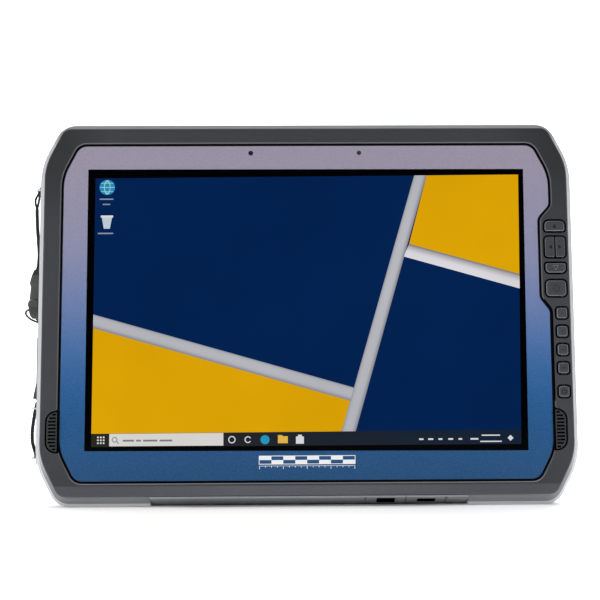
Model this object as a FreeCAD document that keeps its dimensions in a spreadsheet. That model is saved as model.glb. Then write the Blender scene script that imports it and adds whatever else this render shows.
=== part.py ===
import FreeCAD, Part
import Sketcher
import math
import os

# Rugged survey tablet (data collector).  The screen faces -Y, +X is to the right of a
# person looking at the screen, +Z is up.  The origin is the centre of the rear mounting
# pattern, on its seating plane y = 0.  All sizes are millimetres.

Vector = FreeCAD.Vector
doc = FreeCAD.newDocument("survey_tablet")
sheet = doc.addObject("Spreadsheet::Sheet", "Sizes")

# "high" and "low" are distances above and below z = 0, "half" is half a width.
# "cut_x" and "cut_z" are the two legs of an outline's long corner cuts.
DRIVING_SIZES = [
    # outline of the front bezel
    ("bezel_half", 134.8), ("bezel_high", 94.7), ("bezel_low", 93.9),
    ("bezel_cut_x", 9.9), ("bezel_cut_z", 19.7),
    ("bezel_side_round", 30.0), ("bezel_end_round", 5.5),
    # how much farther out the keypad side of the case is than the other side
    ("right_extra", 0.65),
    # outline of the light metal middle frame, the widest part of the case
    ("rim_half", 137.8), ("rim_high", 97.8), ("rim_low", 99.2),
    ("rim_cut_x", 11.2), ("rim_cut_z", 21.4),
    ("rim_side_round", 36.0), ("rim_end_round", 11.0),
    ("rim_bevel_side", 3.0), ("rim_bevel_deep", 5.0),
    # rear cover outline
    ("cover_half", 137.2), ("cover_high", 97.2), ("cover_low", 98.6),
    ("cover_bevel_side", 6.0), ("cover_bevel_deep", 5.0),
    # cavity shared by the frame and the cover
    ("bay_half", 131.6), ("bay_high", 90.6), ("bay_low", 91.6),
    ("bay_cut_x", 9.5), ("bay_cut_z", 19.0),
    # depth stations, measured forward from the mounting plane
    ("front_face", 26.0), ("bezel_back", 21.0), ("rim_front", 23.5), ("rim_back", 10.0),
    ("cover_back", 1.0), ("cover_inside", 3.5),
    # glass opening in the bezel, with the step that goes round the keypad
    ("open_half", 125.9), ("open_high", 86.6), ("open_low", 87.4),
    ("open_cut_x", 8.6), ("open_cut_z", 16.8),
    ("open_side_round", 25.0), ("open_end_round", 7.0),
    ("open_extra", 0.95), ("open_drop", 0.8),
    ("step_x", 120.85), ("step_top_out", 53.2), ("step_top_in", 46.6),
    ("step_low_in", 6.0), ("step_low_out", 0.6),
    ("glass_inset", 1.1), ("glass_front", 25.2), ("glass_thick", 1.6), ("ledge_front", 23.0),
    ("window_half", 116.5), ("window_high", 77.5), ("window_low", 76.0),
    # display module
    ("panel_half", 114.0), ("panel_tall", 148.0), ("panel_mid", 0.8), ("panel_thick", 3.0),
    # keys
    ("key_proud", 0.45), ("key_gap", 0.55), ("key_back", 21.4),
    ("key_wide", 10.2), ("key_mid", 128.2),
    ("small_key", 5.3), ("small_mid", 130.7), ("small_pitch", 9.36), ("small_first", 2.5),
    ("up_z", 42.65), ("up_tall", 5.3), ("pair_z", 31.7), ("pair_tall", 10.4),
    ("pair_split", 0.8), ("down_z", 20.8), ("down_tall", 4.8),
    ("enter_z", 10.3), ("enter_tall", 8.0), ("power_z", 42.5),
    # speaker grilles
    ("grille_in", 125.9), ("grille_out", 131.6), ("grille_z", 61.5), ("grille_tall", 20.6),
    ("grille_round", 5.2), ("slot_pitch", 1.74), ("slot_tall", 0.9),
    # battery and its latches
    ("batt_left", 62.0), ("batt_right", 98.0), ("batt_top", 26.0), ("batt_low", 86.0),
    ("batt_deep", 11.3), ("latch_long", 12.8), ("latch_tall", 11.2), ("latch_mid", 56.0),
    # rear mounting pattern
    ("mount_x", 75.0), ("mount_z", 35.0),
    ("insert_r", 3.0), ("insert_hole_r", 1.65), ("insert_long", 8.0),
    # case screws
    ("screw_head_r", 2.6), ("screw_shank_r", 1.2),
    # hand strap
    ("strap_mid", 104.0), ("strap_wide", 38.0), ("strap_bar_z", 64.0),
    ("strap_rise", 17.0), ("strap_thick", 3.2),
    # stylus
    ("stylus_x", 117.0), ("stylus_y", 3.9), ("stylus_r", 4.0),
    ("stylus_low", 38.0), ("stylus_high", 72.0),
    # port panel on the lower edge
    ("ports_left", 79.3), ("ports_right", 81.3),
    # side door
    ("door_low", 45.5), ("door_high", 13.2), ("door_out", 138.3), ("door_thick", 1.6),
    ("hinge_x", 137.3), ("hinge_y", 11.6),
    # tether
    ("cord_r", 0.62), ("clip_x", 140.8), ("clip_y", 15.0),
]


class Dim:
    """A number that remembers the spreadsheet expression it comes from."""

    def __init__(self, number, words):
        self.number = float(number)
        self.words = words

    def __add__(self, other):
        other = dim(other)
        return Dim(self.number + other.number, "(%s + %s)" % (self.words, other.words))

    __radd__ = __add__

    def __sub__(self, other):
        other = dim(other)
        return Dim(self.number - other.number, "(%s - %s)" % (self.words, other.words))

    def __rsub__(self, other):
        return dim(other) - self

    def __mul__(self, other):
        other = dim(other)
        return Dim(self.number * other.number, "(%s * %s)" % (self.words, other.words))

    __rmul__ = __mul__

    def __truediv__(self, other):
        other = dim(other)
        return Dim(self.number / other.number, "(%s / %s)" % (self.words, other.words))

    def __neg__(self):
        return Dim(-self.number, "(0 - %s)" % self.words)


def dim(value):
    return value if isinstance(value, Dim) else Dim(value, "(%s)" % repr(float(value)))


class Size:
    """Holds every driving size as a Dim, under its alias."""


for row, (alias, number) in enumerate(DRIVING_SIZES, start=1):
    sheet.set("A%d" % row, alias)
    sheet.set("B%d" % row, str(number))
    sheet.setAlias("B%d" % row, alias)
    setattr(Size, alias, Dim(number, "Sizes." + alias))
doc.recompute()

PARTS = {}


def keep(obj, name):
    """Label an object and list it for export."""
    obj.Label = name
    PARTS[name] = obj


def bind(obj, prop, value):
    """Drive a property by an expression."""
    obj.setExpression(prop, dim(value).words)


def bind_place(obj, x, y, z):
    bind(obj, "Placement.Base.x", x)
    bind(obj, "Placement.Base.y", y)
    bind(obj, "Placement.Base.z", z)


def check(obj):
    if "Invalid" in obj.State or "Error" in obj.State or not obj.isValid():
        raise RuntimeError("%s failed" % obj.Name)


# ---------------------------------------------------------------- sketches
def hold_point(geometry, vertex, x, y):
    """Constraints, each with its value, that hold a point by its distances from the origin."""
    return [(Sketcher.Constraint("DistanceX", geometry, vertex, dim(x).number), x),
            (Sketcher.Constraint("DistanceY", geometry, vertex, dim(y).number), y)]


def add_loop(profile, points, held):
    """Closed polyline whose corners are each held by a signed X and Y size."""
    first = profile.GeometryCount
    count = len(points)
    corners = [Vector(dim(x).number, dim(y).number, 0) for x, y in points]
    profile.addGeometry([Part.LineSegment(corners[i], corners[(i + 1) % count])
                         for i in range(count)], False)
    for i, (x, y) in enumerate(points):
        line = first + i
        joint = Sketcher.Constraint("Coincident", line, 2, first + (i + 1) % count, 1)
        held.append((joint, None))
        held += hold_point(line, 1, x, y)


def add_circle(profile, x, y, radius, held):
    circle = profile.GeometryCount
    centre = Vector(dim(x).number, dim(y).number, 0)
    profile.addGeometry(Part.Circle(centre, Vector(0, 0, 1), dim(radius).number), False)
    held += hold_point(circle, 3, x, y)
    held.append((Sketcher.Constraint("Radius", circle, dim(radius).number), radius))


def sketch(body, role, offset, loops=(), circles=()):
    """Sketch on one of the body's own origin planes, moved along its normal."""
    number = len(doc.findObjects("Sketcher::SketchObject")) + 1
    profile = body.newObject("Sketcher::SketchObject", "%s_sketch_%d" % (body.Name, number))
    plane = next(item for item in body.Origin.OriginFeatures if item.Role == role)
    profile.AttachmentSupport = [(plane, "")]
    profile.MapMode = "FlatFace"
    bind(profile, "AttachmentOffset.Base.z", offset)
    held = []
    for points in loops:
        add_loop(profile, points, held)
    for x, y, radius in circles:
        add_circle(profile, x, y, radius, held)
    profile.addConstraint([constraint for constraint, _ in held])
    for i, (_, value) in enumerate(held):
        if isinstance(value, Dim):
            profile.setExpression("Constraints[%d]" % i, value.words)
    return profile


# ---------------------------------------------------------------- body features
def new_body(name):
    return doc.addObject("PartDesign::Body", name)


def extrude(kind, body, profile, length):
    feature = body.newObject("PartDesign::" + kind, body.Name + "_" + kind.lower())
    feature.Profile = profile
    bind(feature, "Length", length)
    doc.recompute()
    check(feature)


def pad(body, y0, y1, loops=(), circles=()):
    """Material between the planes y0 and y1 (y0 < y1)."""
    # the XZ plane's normal is -Y, so a plane at y sits at offset -y
    profile = sketch(body, "XZ_Plane", -dim(y1), loops, circles)
    extrude("Pad", body, profile, dim(y1) - y0)


def pocket(body, y0, y1, loops=(), circles=()):
    """Cut between the planes y0 and y1 (y0 < y1); the loss of volume is checked."""
    before = body.Shape.Volume
    profile = sketch(body, "XZ_Plane", -dim(y0), loops, circles)
    extrude("Pocket", body, profile, dim(y1) - y0)
    if not body.Shape.Volume < before - 1e-3:
        raise RuntimeError("a pocket of %s cut nothing" % body.Name)


def side_profile(name, x0, x1, points):
    """Prism along X from a closed outline of (y, z) points."""
    body = new_body(name)
    # the YZ plane's normal is +X, its first axis is +Y and its second is +Z
    extrude("Pad", body, sketch(body, "YZ_Plane", x0, [points]), dim(x1) - x0)
    return body


def corner_edges(body, points, tolerance=0.02):
    """Names of the straight edges along Y that stand on the given (x, z) points."""
    names = []
    for i, edge in enumerate(body.Shape.Edges):
        if len(edge.Vertexes) != 2:
            continue
        start, end = edge.Vertexes[0].Point, edge.Vertexes[1].Point
        if abs(start.x - end.x) > 1e-4 or abs(start.z - end.z) > 1e-4:
            continue
        if any(abs(start.x - dim(x).number) < tolerance and abs(start.z - dim(z).number) < tolerance
               for x, z in points):
            names.append("Edge%d" % (i + 1))
    return names


def middle_of(edge):
    return edge.valueAt((edge.FirstParameter + edge.LastParameter) / 2.0)


def level_edges(body, y, test=None):
    """Names of the edges that lie in the plane y and whose middle point passes the test."""
    y = dim(y).number
    names = []
    for i, edge in enumerate(body.Shape.Edges):
        if all(abs(vertex.Y - y) < 1e-4 for vertex in edge.Vertexes):
            middle = middle_of(edge)
            if abs(middle.y - y) < 1e-4 and (test is None or test(middle)):
                names.append("Edge%d" % (i + 1))
    return names


def dress(kind, body, names):
    if not names:
        raise RuntimeError("no edges to dress on " + body.Name)
    base = body.Tip
    feature = body.newObject("PartDesign::" + kind, body.Name + "_" + kind.lower())
    feature.Base = (base, names)
    return feature


def fillet(body, names, radius):
    feature = dress("Fillet", body, names)
    bind(feature, "Radius", radius)
    doc.recompute()
    check(feature)


def chamfer(body, names, size, size2=None):
    feature = dress("Chamfer", body, names)
    if size2 is not None:
        feature.ChamferType = "Two distances"
        bind(feature, "Size2", size2)
    bind(feature, "Size", size)
    doc.recompute()
    check(feature)


# ---------------------------------------------------------------- outlines
def rect(x0, x1, z0, z1):
    """Corners: lower left, lower right, upper right, upper left."""
    return [(dim(x0), dim(z0)), (dim(x1), dim(z0)), (dim(x1), dim(z1)), (dim(x0), dim(z1))]


def rects(*rows):
    return [rect(*row) for row in rows]


def octagon(half, high, low, cut_x, cut_z, extra=0.0):
    """Rectangle with four long corner cuts, anticlockwise from the lower left."""
    half, high, low, cut_x, cut_z = map(dim, (half, high, low, cut_x, cut_z))
    far = half + dim(extra)
    return [(-half + cut_x, -low), (far - cut_x, -low), (far, -low + cut_z), (far, high - cut_z),
            (far - cut_x, high), (-half + cut_x, high), (-half, high - cut_z),
            (-half, -low + cut_z)]


def round_octagon(body, points, side_radius, end_radius):
    """Round the corners on the left and right sides, then those on the top and bottom."""
    fillet(body, corner_edges(body, [points[i] for i in (2, 3, 6, 7)]), side_radius)
    fillet(body, corner_edges(body, [points[i] for i in (0, 1, 4, 5)]), end_radius)


def stepped(inset):
    """Outline of the glass opening, with the step round the keypad, moved inwards by inset."""
    inset = dim(inset)
    half, high, low = Size.open_half - inset, Size.open_high - inset, Size.open_low - inset
    # the corner cuts and the step's slants shrink more slowly than the straight sides
    cut_x, cut_z = Size.open_cut_x - inset * 0.38, Size.open_cut_z - inset * 0.76
    slant = inset * 0.42
    step = Size.step_x - inset
    far = half + Size.open_extra
    low_right_shift = 0.3
    return [(-half + cut_x, -low), (half - cut_x + low_right_shift, -low),
            (half, -low + cut_z - Size.open_drop), (half, -Size.step_low_out - slant),
            (step, Size.step_low_in - slant), (step, Size.step_top_in + slant),
            (far, Size.step_top_out + slant), (far, high - cut_z), (far - cut_x, high),
            (-half + cut_x, high), (-half, high - cut_z), (-half, -low + cut_z)]


def round_stepped(body, points, less=0.0):
    """Round a stepped outline; less is taken off the convex radii, added to the concave ones."""
    for corners, radius in (((2, 7, 10, 11), Size.open_side_round - less),
                            ((0, 1, 8, 9), Size.open_end_round - less),
                            ((3, 6), 5.0 - less),
                            ((4, 5), 4.0 + less)):
        fillet(body, corner_edges(body, [points[i] for i in corners]), radius)


def ordered(side, near, far):
    """The two ends of a span that runs towards side (+1 or -1), lower one first."""
    return (near, far) if side > 0 else (far, near)


def mirrored(side, near, far):
    """The span near..far on the +X side, or its mirror image on the -X side."""
    return ordered(side, near * side, far * side)


# ---------------------------------------------------------------- plain solids
AXES = {"x": FreeCAD.Rotation(Vector(0, 1, 0), 90), "y": FreeCAD.Rotation(Vector(1, 0, 0), -90),
        "z": FreeCAD.Rotation()}


def box(name, x0, x1, y0, y1, z0, z1):
    solid = doc.addObject("Part::Box", name)
    x0, x1, y0, y1, z0, z1 = map(dim, (x0, x1, y0, y1, z0, z1))
    bind(solid, "Length", x1 - x0)
    bind(solid, "Width", y1 - y0)
    bind(solid, "Height", z1 - z0)
    bind_place(solid, x0, y0, z0)
    return solid


def along_axis(kind, name, axis, x, y, z):
    """Part primitive whose own Z axis is turned to point along +axis."""
    solid = doc.addObject("Part::" + kind, name)
    solid.Placement = FreeCAD.Placement(Vector(0, 0, 0), AXES[axis])
    bind_place(solid, x, y, z)
    return solid


def rod(name, axis, x, y, z, radius, length):
    """Cylinder from (x, y, z) along the positive axis."""
    solid = along_axis("Cylinder", name, axis, x, y, z)
    bind(solid, "Radius", radius)
    bind(solid, "Height", length)
    return solid


def fuse(name, solids):
    joined = doc.addObject("Part::MultiFuse", name)
    joined.Shapes = solids
    return joined


def group(name, solids):
    """Several separate solids as one piece."""
    compound = doc.addObject("Part::Compound", name)
    compound.Links = solids
    keep(compound, name)


def cut(name, base, tools):
    result = doc.addObject("Part::Cut", name)
    result.Base = base
    result.Tool = tools[0] if len(tools) == 1 else fuse(name + "_tools", tools)
    return result


def soften(name, base, radius, test):
    """Part::Fillet on the edges that pass the test, which is given the edge and its middle."""
    doc.recompute()
    rounded = doc.addObject("Part::Fillet", name)
    rounded.Base = base
    rounded.Edges = [(i + 1, radius, radius) for i, edge in enumerate(base.Shape.Edges)
                     if test(edge, middle_of(edge))]
    doc.recompute()
    check(rounded)
    return rounded


def screw(name, x, z, head_y, head_radius, head_deep, shank_radius, tip_y):
    """Screw with a hexagonal key socket; head_y is its outer end, towards +Y."""
    head = rod(name + "_head", "y", x, head_y - head_deep, z, head_radius, head_deep)
    shank = rod(name + "_shank", "y", x, tip_y, z, shank_radius, head_y - head_deep + 0.2 - tip_y)
    hexagon = along_axis("Prism", name + "_socket", "y", x, head_y - head_deep * 0.6, z)
    hexagon.Polygon = 6
    bind(hexagon, "Circumradius", head_radius * 0.5)
    bind(hexagon, "Height", head_deep)
    return cut(name, fuse(name + "_blank", [head, shank]), [hexagon])


# ---------------------------------------------------------------- places shared by pieces
FRONT = -Size.front_face
BEZEL_BACK = -Size.bezel_back
LEDGE = -Size.ledge_front
GLASS_FRONT = -Size.glass_front
GLASS_BACK = GLASS_FRONT + Size.glass_thick
RIM_FRONT = -Size.rim_front
RIM_BACK = -Size.rim_back
BACK = -Size.cover_back
INSIDE = -Size.cover_inside
BEYOND = 0.2            # how far a cutter runs past the face it opens

RIM_LINE = octagon(Size.rim_half, Size.rim_high, Size.rim_low,
                   Size.rim_cut_x, Size.rim_cut_z, Size.right_extra)
COVER_LINE = octagon(Size.cover_half, Size.cover_high, Size.cover_low,
                     Size.rim_cut_x, Size.rim_cut_z, Size.right_extra)
BAY_LINE = octagon(Size.bay_half, Size.bay_high, Size.bay_low, Size.bay_cut_x, Size.bay_cut_z)
BAY_ROUNDS = (28.0, 6.0)

# x of the two sight holes above the display, which share a height and a radius
SIGHTS = {"front_camera": -28.4, "light_sensor": 27.8}
SIGHT_Z = 81.7
SIGHT_RADIUS = 2.6

GRILLE_Z = -Size.grille_z
GRILLE_SEAT_DEEP = 2.0

# (x, z) of the case screws, and of the posts between the chassis plate and the main board
SCREWS = [(-128.0, 58.0), (128.0, 58.0), (-128.0, 4.0), (128.0, 4.0),
          (-110.0, -84.0), (110.0, -84.0), (-100.0, 86.0), (100.0, 86.0)]
SCREW_POST_RADIUS = 4.0
BOARD_POSTS = [(-105, -66), (105, -66), (-105, 68), (105, 68), (0.5, 68), (0.5, -66)]

MOUNTS = [(x * Size.mount_x / 2, z * Size.mount_z / 2) for x in (-1, 1) for z in (-1, 1)]

ANCHORS = (64.5, -49.5, -75.0)      # z of the tether anchors

CAMERA_X, FLASH_X, CAMERA_Z = 92, 74, 70

# antenna cover: its ends, and the notch it fills in the top edge
COVER_STRIP_LEFT, COVER_STRIP_RIGHT = -77.0, 15.0
TOP_NOTCH = rect(COVER_STRIP_LEFT - 0.2, COVER_STRIP_RIGHT + 0.2, 93.6, 99.0)

# side door: its lower and upper ends, its hinge axis and the ends of the hinge barrel
DOOR_LOW, DOOR_HIGH = -Size.door_low, -Size.door_high
HINGE_X, HINGE_Y = -Size.hinge_x + 0.9, -Size.hinge_y
BARREL_LOW, BARREL_HIGH = -42.7, -16.0
OUTSIDE_LEFT = -140.0
HINGE_ROOM = rect(OUTSIDE_LEFT, -134.9, BARREL_LOW - 0.3, BARREL_HIGH + 0.3)

# battery ends, and the height of the latch slots
BATT_X0, BATT_X1 = -Size.batt_left, Size.batt_right
BATT_Z0, BATT_Z1 = -Size.batt_low, -Size.batt_top
LATCH_Z0 = -Size.latch_mid - Size.latch_tall / 2
LATCH_Z1 = -Size.latch_mid + Size.latch_tall / 2
LATCH_GAP = 0.4
LATCH_SLOT = (LATCH_Z0 - LATCH_GAP, LATCH_Z1 + LATCH_GAP)
LATCH_SLOT_DEEP = 1.75


def groove_lines(shrink=0.0):
    """Outer and inner outlines of the seal groove, each moved into the groove by shrink."""
    return [octagon(133.6 - shrink, 92.8 - shrink, 93.6 - shrink, 10.3, 20.4),
            octagon(132.5 + shrink, 91.7 + shrink, 92.5 + shrink, 9.9, 19.8)]


def key_table():
    """Rows of (name, x0, x1, z0, z1, corner rounds in the order of rect)."""
    left, right = Size.key_mid - Size.key_wide / 2, Size.key_mid + Size.key_wide / 2
    split = Size.pair_split / 2
    small = (Size.small_mid - Size.small_key / 2, Size.small_mid + Size.small_key / 2)
    small_rounds = (1.1, 1.1, 1.1, 1.1)
    # name, x0, x1, middle z, height, corner rounds
    keys = [
        ("key_up", left, right, Size.up_z, Size.up_tall, (1.0, 1.0, 2.2, 2.2)),
        ("key_left", left, Size.key_mid - split, Size.pair_z, Size.pair_tall,
         (1.5, 0.35, 0.35, 1.5)),
        ("key_right", Size.key_mid + split, right, Size.pair_z, Size.pair_tall,
         (0.35, 1.5, 1.5, 0.35)),
        ("key_down", left, right, Size.down_z, Size.down_tall, (2.0, 2.0, 0.8, 0.8)),
        ("key_enter", left, right, Size.enter_z, Size.enter_tall, (1.9, 1.9, 1.9, 1.9)),
    ]
    for i in range(4):
        keys.append(("key_f%d" % (i + 1), *small, -Size.small_first - Size.small_pitch * i,
                     Size.small_key, small_rounds))
    keys.append(("key_power", *small, -Size.power_z, Size.small_key, small_rounds))
    return [(name, x0, x1, z - tall / 2, z + tall / 2, rounds)
            for name, x0, x1, z, tall, rounds in keys]


KEYS = key_table()


# ---------------------------------------------------------------- front bezel
def key_wells():
    """Outline and corner rounds of each key well; the left and right keys share one."""
    gap = Size.key_gap
    wells = []
    for name, x0, x1, z0, z1, rounds in KEYS:
        if name == "key_right":
            continue
        if name == "key_left":
            x1 = Size.key_mid + Size.key_wide / 2
            rounds = (1.5, 1.5, 1.5, 1.5)
        wells.append((rect(x0 - gap, x1 + gap, z0 - gap, z1 + gap), rounds))
    return wells


def on_well_rim(middle):
    """Front edges round the keys, without those of the glass opening beside and below them."""
    in_keypad = 122.0 < middle.x < 134.25 and -47 < middle.z < 47
    opening_side = 125.5 < middle.x < 126.6 and middle.z < 0
    step_slant = middle.x < 126.6 and -1.0 < middle.z < 5.5
    return in_keypad and not opening_side and not step_slant


def build_bezel():
    bezel = new_body("front_bezel")
    outline = octagon(Size.bezel_half, Size.bezel_high, Size.bezel_low,
                      Size.bezel_cut_x, Size.bezel_cut_z, Size.right_extra)
    pad(bezel, FRONT, BEZEL_BACK, [outline])
    round_octagon(bezel, outline, Size.bezel_side_round, Size.bezel_end_round)
    fillet(bezel, level_edges(bezel, FRONT), 1.0)
    opening = stepped(0)
    pocket(bezel, FRONT, LEDGE, [opening])
    round_stepped(bezel, opening)
    opening_rim = level_edges(bezel, FRONT, lambda mid: abs(mid.x) < 127.2 and abs(mid.z) < 88)
    chamfer(bezel, opening_rim, 0.6)
    # window for the display module, and the two sight holes
    window = rect(-Size.window_half, Size.window_half, -Size.window_low, Size.window_high)
    pocket(bezel, LEDGE, BEZEL_BACK, [window],
           [(x, SIGHT_Z, SIGHT_RADIUS) for x in SIGHTS.values()])

    wells = key_wells()
    pocket(bezel, FRONT, BEZEL_BACK, [well for well, _ in wells])
    for value in sorted({radius for _, rounds in wells for radius in rounds}):
        corners = [well[i] for well, rounds in wells for i in range(4) if rounds[i] == value]
        fillet(bezel, corner_edges(bezel, corners), Size.key_gap + value)

    # D-shaped seats for the speaker grilles, and the sound openings behind them
    z0, z1 = GRILLE_Z - Size.grille_tall / 2, GRILLE_Z + Size.grille_tall / 2
    seat_floor = FRONT + GRILLE_SEAT_DEEP
    for side in (-1, 1):
        x0, x1 = mirrored(side, Size.grille_in - 0.6, Size.grille_out)
        pocket(bezel, FRONT, seat_floor, [rect(x0, x1, z0, z1)])
        outer = x1 if side > 0 else x0
        fillet(bezel, corner_edges(bezel, [(outer, z0), (outer, z1)]), Size.grille_round)
        x0, x1 = mirrored(side, 126.6, 130.2)
        pocket(bezel, seat_floor, BEZEL_BACK, [rect(x0, x1, GRILLE_Z - 8, GRILLE_Z + 8)])
    fillet(bezel, level_edges(bezel, FRONT, on_well_rim), 0.3)
    keep(bezel, "front_bezel")


def build_keys():
    top = FRONT - Size.key_proud
    for name, x0, x1, z0, z1, rounds in KEYS:
        key = new_body(name)
        outline = rect(x0, x1, z0, z1)
        pad(key, top, -Size.key_back, [outline])
        for value in sorted(set(rounds)):
            corners = [outline[i] for i in range(4) if rounds[i] == value]
            fillet(key, corner_edges(key, corners), value)
        top_round = 0.3 if name in ("key_left", "key_right") else 0.55
        fillet(key, level_edges(key, top), top_round)
        keep(key, name)


# ---------------------------------------------------------------- speakers
def build_grille(side, name):
    grille = new_body(name)
    gap = 0.5
    half = Size.grille_tall / 2 - gap
    x0, x1 = mirrored(side, Size.grille_in + 0.05, Size.grille_out - gap)
    z0, z1 = GRILLE_Z - half, GRILLE_Z + half
    top = FRONT + 0.1
    pad(grille, top, FRONT + 1.95, [rect(x0, x1, z0, z1)])
    outer = x1 if side > 0 else x0
    fillet(grille, corner_edges(grille, [(outer, z0), (outer, z1)]), Size.grille_round - gap)
    fillet(grille, level_edges(grille, top), 0.25)
    # the two slots nearest each end stop short, to stay inside the rounded corners
    full_reach, short_reach = 130.4, {4: 129.7, 5: 128.3}
    slots = []
    for k in range(-5, 6):
        z = GRILLE_Z + Size.slot_pitch * k
        x0, x1 = mirrored(side, Size.grille_in + 0.55, short_reach.get(abs(k), full_reach))
        slots.append(rect(x0, x1, z - Size.slot_tall / 2, z + Size.slot_tall / 2))
    pocket(grille, FRONT, FRONT + GRILLE_SEAT_DEEP, slots)
    keep(grille, name)


def build_speaker(side, word):
    half_tall = 9.4
    x0, x1 = mirrored(side, 119.8, 130.6)
    shell = box("speaker_shell_" + word, x0, x1, BEZEL_BACK + 0.2, -14.6,
                GRILLE_Z - half_tall, GRILLE_Z + half_tall)
    cone = along_axis("Cone", "speaker_cone_" + word, "y", (x0 + x1) / 2, BEZEL_BACK + 0.1, GRILLE_Z)
    bind(cone, "Radius1", 4.9)
    bind(cone, "Radius2", 2.0)
    bind(cone, "Height", 2.4)
    keep(cut("speaker_" + word, shell, [cone]), "speaker_" + word)


def build_speakers():
    for side, word in ((-1, "left"), (1, "right")):
        build_grille(side, "speaker_grille_" + word)
        build_speaker(side, word)


# ---------------------------------------------------------------- glass, gasket, display
def stepped_body(name, y0, y1, inset, less):
    body = new_body(name)
    outline = stepped(inset)
    pad(body, y0, y1, [outline])
    round_stepped(body, outline, less)
    return body


def build_glass():
    glass = stepped_body("cover_glass", GLASS_FRONT, GLASS_BACK, Size.glass_inset, less=1.0)
    fillet(glass, level_edges(glass, GLASS_FRONT), 0.3)
    keep(glass, "cover_glass")


def build_gasket():
    """Ring under and round the glass, open over the display and the sight holes."""
    ring = stepped_body("gasket_ring", -24.9, LEDGE, 0.06, less=0.05)
    well = stepped_body("gasket_well", -25.4, GLASS_BACK, Size.glass_inset - 0.1, less=0.9)
    cut_front, cut_back = -24.2, -22.0
    margin = 0.6
    window = box("gasket_window", -Size.window_half - margin, Size.window_half + margin,
                 cut_front, cut_back, -Size.window_low - margin, Size.window_high + margin)
    sights = [rod("gasket_sight_%d" % i, "y", x, cut_front, SIGHT_Z, SIGHT_RADIUS, 2.0)
              for i, x in enumerate(SIGHTS.values())]
    keep(cut("display_gasket", ring, [well, window] + sights), "display_gasket")


def build_panel():
    panel = new_body("display_panel")
    front = GLASS_BACK + 0.1
    back = front + Size.panel_thick
    pad(panel, front, back, rects((-Size.panel_half, Size.panel_half,
                                   Size.panel_mid - Size.panel_tall / 2,
                                   Size.panel_mid + Size.panel_tall / 2)))
    recess_deep = 0.8
    pocket(panel, back - recess_deep, back + BEYOND, rects((-100, 100, -50, 60)))
    keep(panel, "display_panel")


def build_chassis():
    """Plate behind the display, with posts for the main board and three openings."""
    chassis = new_body("chassis_plate")
    plate_front, plate_back = -20.2, -19.2
    pad(chassis, plate_front, plate_back, rects((-117, 117, -75.5, 76)))
    pad(chassis, plate_back - 0.1, -17.05, circles=[(x, z, 2.6) for x, z in BOARD_POSTS])
    pocket(chassis, plate_front - 0.2, plate_back + 0.2,
           rects((-85, -45, -40, 30), (40, 85, -40, 30), (-30, 25, -50, -15)))
    keep(chassis, "chassis_plate")


def build_sight_units():
    """Front camera and light sensor: a bored barrel on a square base."""
    bore_radius = {"front_camera": 1.3, "light_sensor": 0.8}
    for name, x in SIGHTS.items():
        barrel = rod(name + "_barrel", "y", x, -22.7, SIGHT_Z, 2.3, 2.2)
        base = box(name + "_base", x - 4, x + 4, -20.6, -18.1, 78.0, 86.0)
        bore = rod(name + "_bore", "y", x, -22.9, SIGHT_Z, bore_radius[name], 0.9)
        keep(cut(name, fuse(name + "_solid", [barrel, base]), [bore]), name)


def build_keypad_layers():
    mat = new_body("keypad_mat")
    pad(mat, -20.5, -19.8, rects((121.0, 131.2, -46.0, 46.2)))
    keep(mat, "keypad_mat")
    dome_shift, dome_radius, dome_deep = -0.9, 1.5, 0.55
    group("dome_switches", [rod(name + "_dome", "y", (x0 + x1) / 2 + dome_shift, -19.7,
                                (z0 + z1) / 2, dome_radius, dome_deep)
                            for name, x0, x1, z0, z1, _ in KEYS])
    board = new_body("keypad_board")
    pad(board, -19.1, -18.0, rects((120.2, 131.3, -46.5, 46.6)))
    keep(board, "keypad_board")


# ---------------------------------------------------------------- middle frame
def add_frame_posts(frame):
    """Screw posts, each joined to the nearest wall by a short web."""
    post_front = -17.5
    side_wall, end_wall = 132.2, 92.2
    half_web = 3.0
    for x, z in SCREWS:
        if abs(x) > 120:
            wall = math.copysign(side_wall, x)
            web = rect(min(x, wall), max(x, wall), z - half_web, z + half_web)
        else:
            wall = math.copysign(end_wall, z)
            web = rect(x - half_web, x + half_web, min(z, wall), max(z, wall))
        pad(frame, post_front, RIM_BACK, [web])
        pad(frame, post_front, RIM_BACK, circles=[(x, z, SCREW_POST_RADIUS)])
    pocket(frame, post_front - 0.1, RIM_BACK + BEYOND,
           circles=[(x, z, Size.screw_shank_r + 0.03) for x, z in SCREWS])


def cut_frame_seats(frame):
    past_back = RIM_BACK + BEYOND
    ports = (-Size.ports_left, Size.ports_right, -100.5)
    door = (DOOR_LOW - 0.3, DOOR_HIGH + 0.3)
    # port panel in the lower edge
    pocket(frame, RIM_FRONT - 0.2, BEZEL_BACK, rects((*ports, -93.2)))
    pocket(frame, BEZEL_BACK - 0.1, past_back, rects((*ports, -94.2)))
    # antenna cover in the top edge
    pocket(frame, -19.0, past_back, [TOP_NOTCH])
    # side door: leaf, hinge, a shallow run behind the leaf, opening for the port block
    pocket(frame, -20.2, -13.2, rects((OUTSIDE_LEFT, -133.6, *door)))
    pocket(frame, -13.3, past_back, [HINGE_ROOM])
    pocket(frame, -13.3, -12.9, rects((OUTSIDE_LEFT, -137.0, *door)))
    pocket(frame, -18.6, -12.4, rects((-134.0, -131.0, -38.2, -16.8)))
    # relief behind the outer column of keys, so that they can travel
    pocket(frame, BEZEL_BACK - 0.1, -20.2, rects((131.0, 134.3, -46.2, 46.4)))
    # windows for the two lower connectors
    pocket(frame, -20.95, -12.0, rects((34.0, 45.2, -94.6, -91.0), (54.7, 65.5, -94.6, -91.0)))
    # recesses for the tether anchors
    for z in ANCHORS:
        pocket(frame, -18.05, -11.95, rects((OUTSIDE_LEFT, -136.6, z - 3.05, z + 3.05)))


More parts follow.
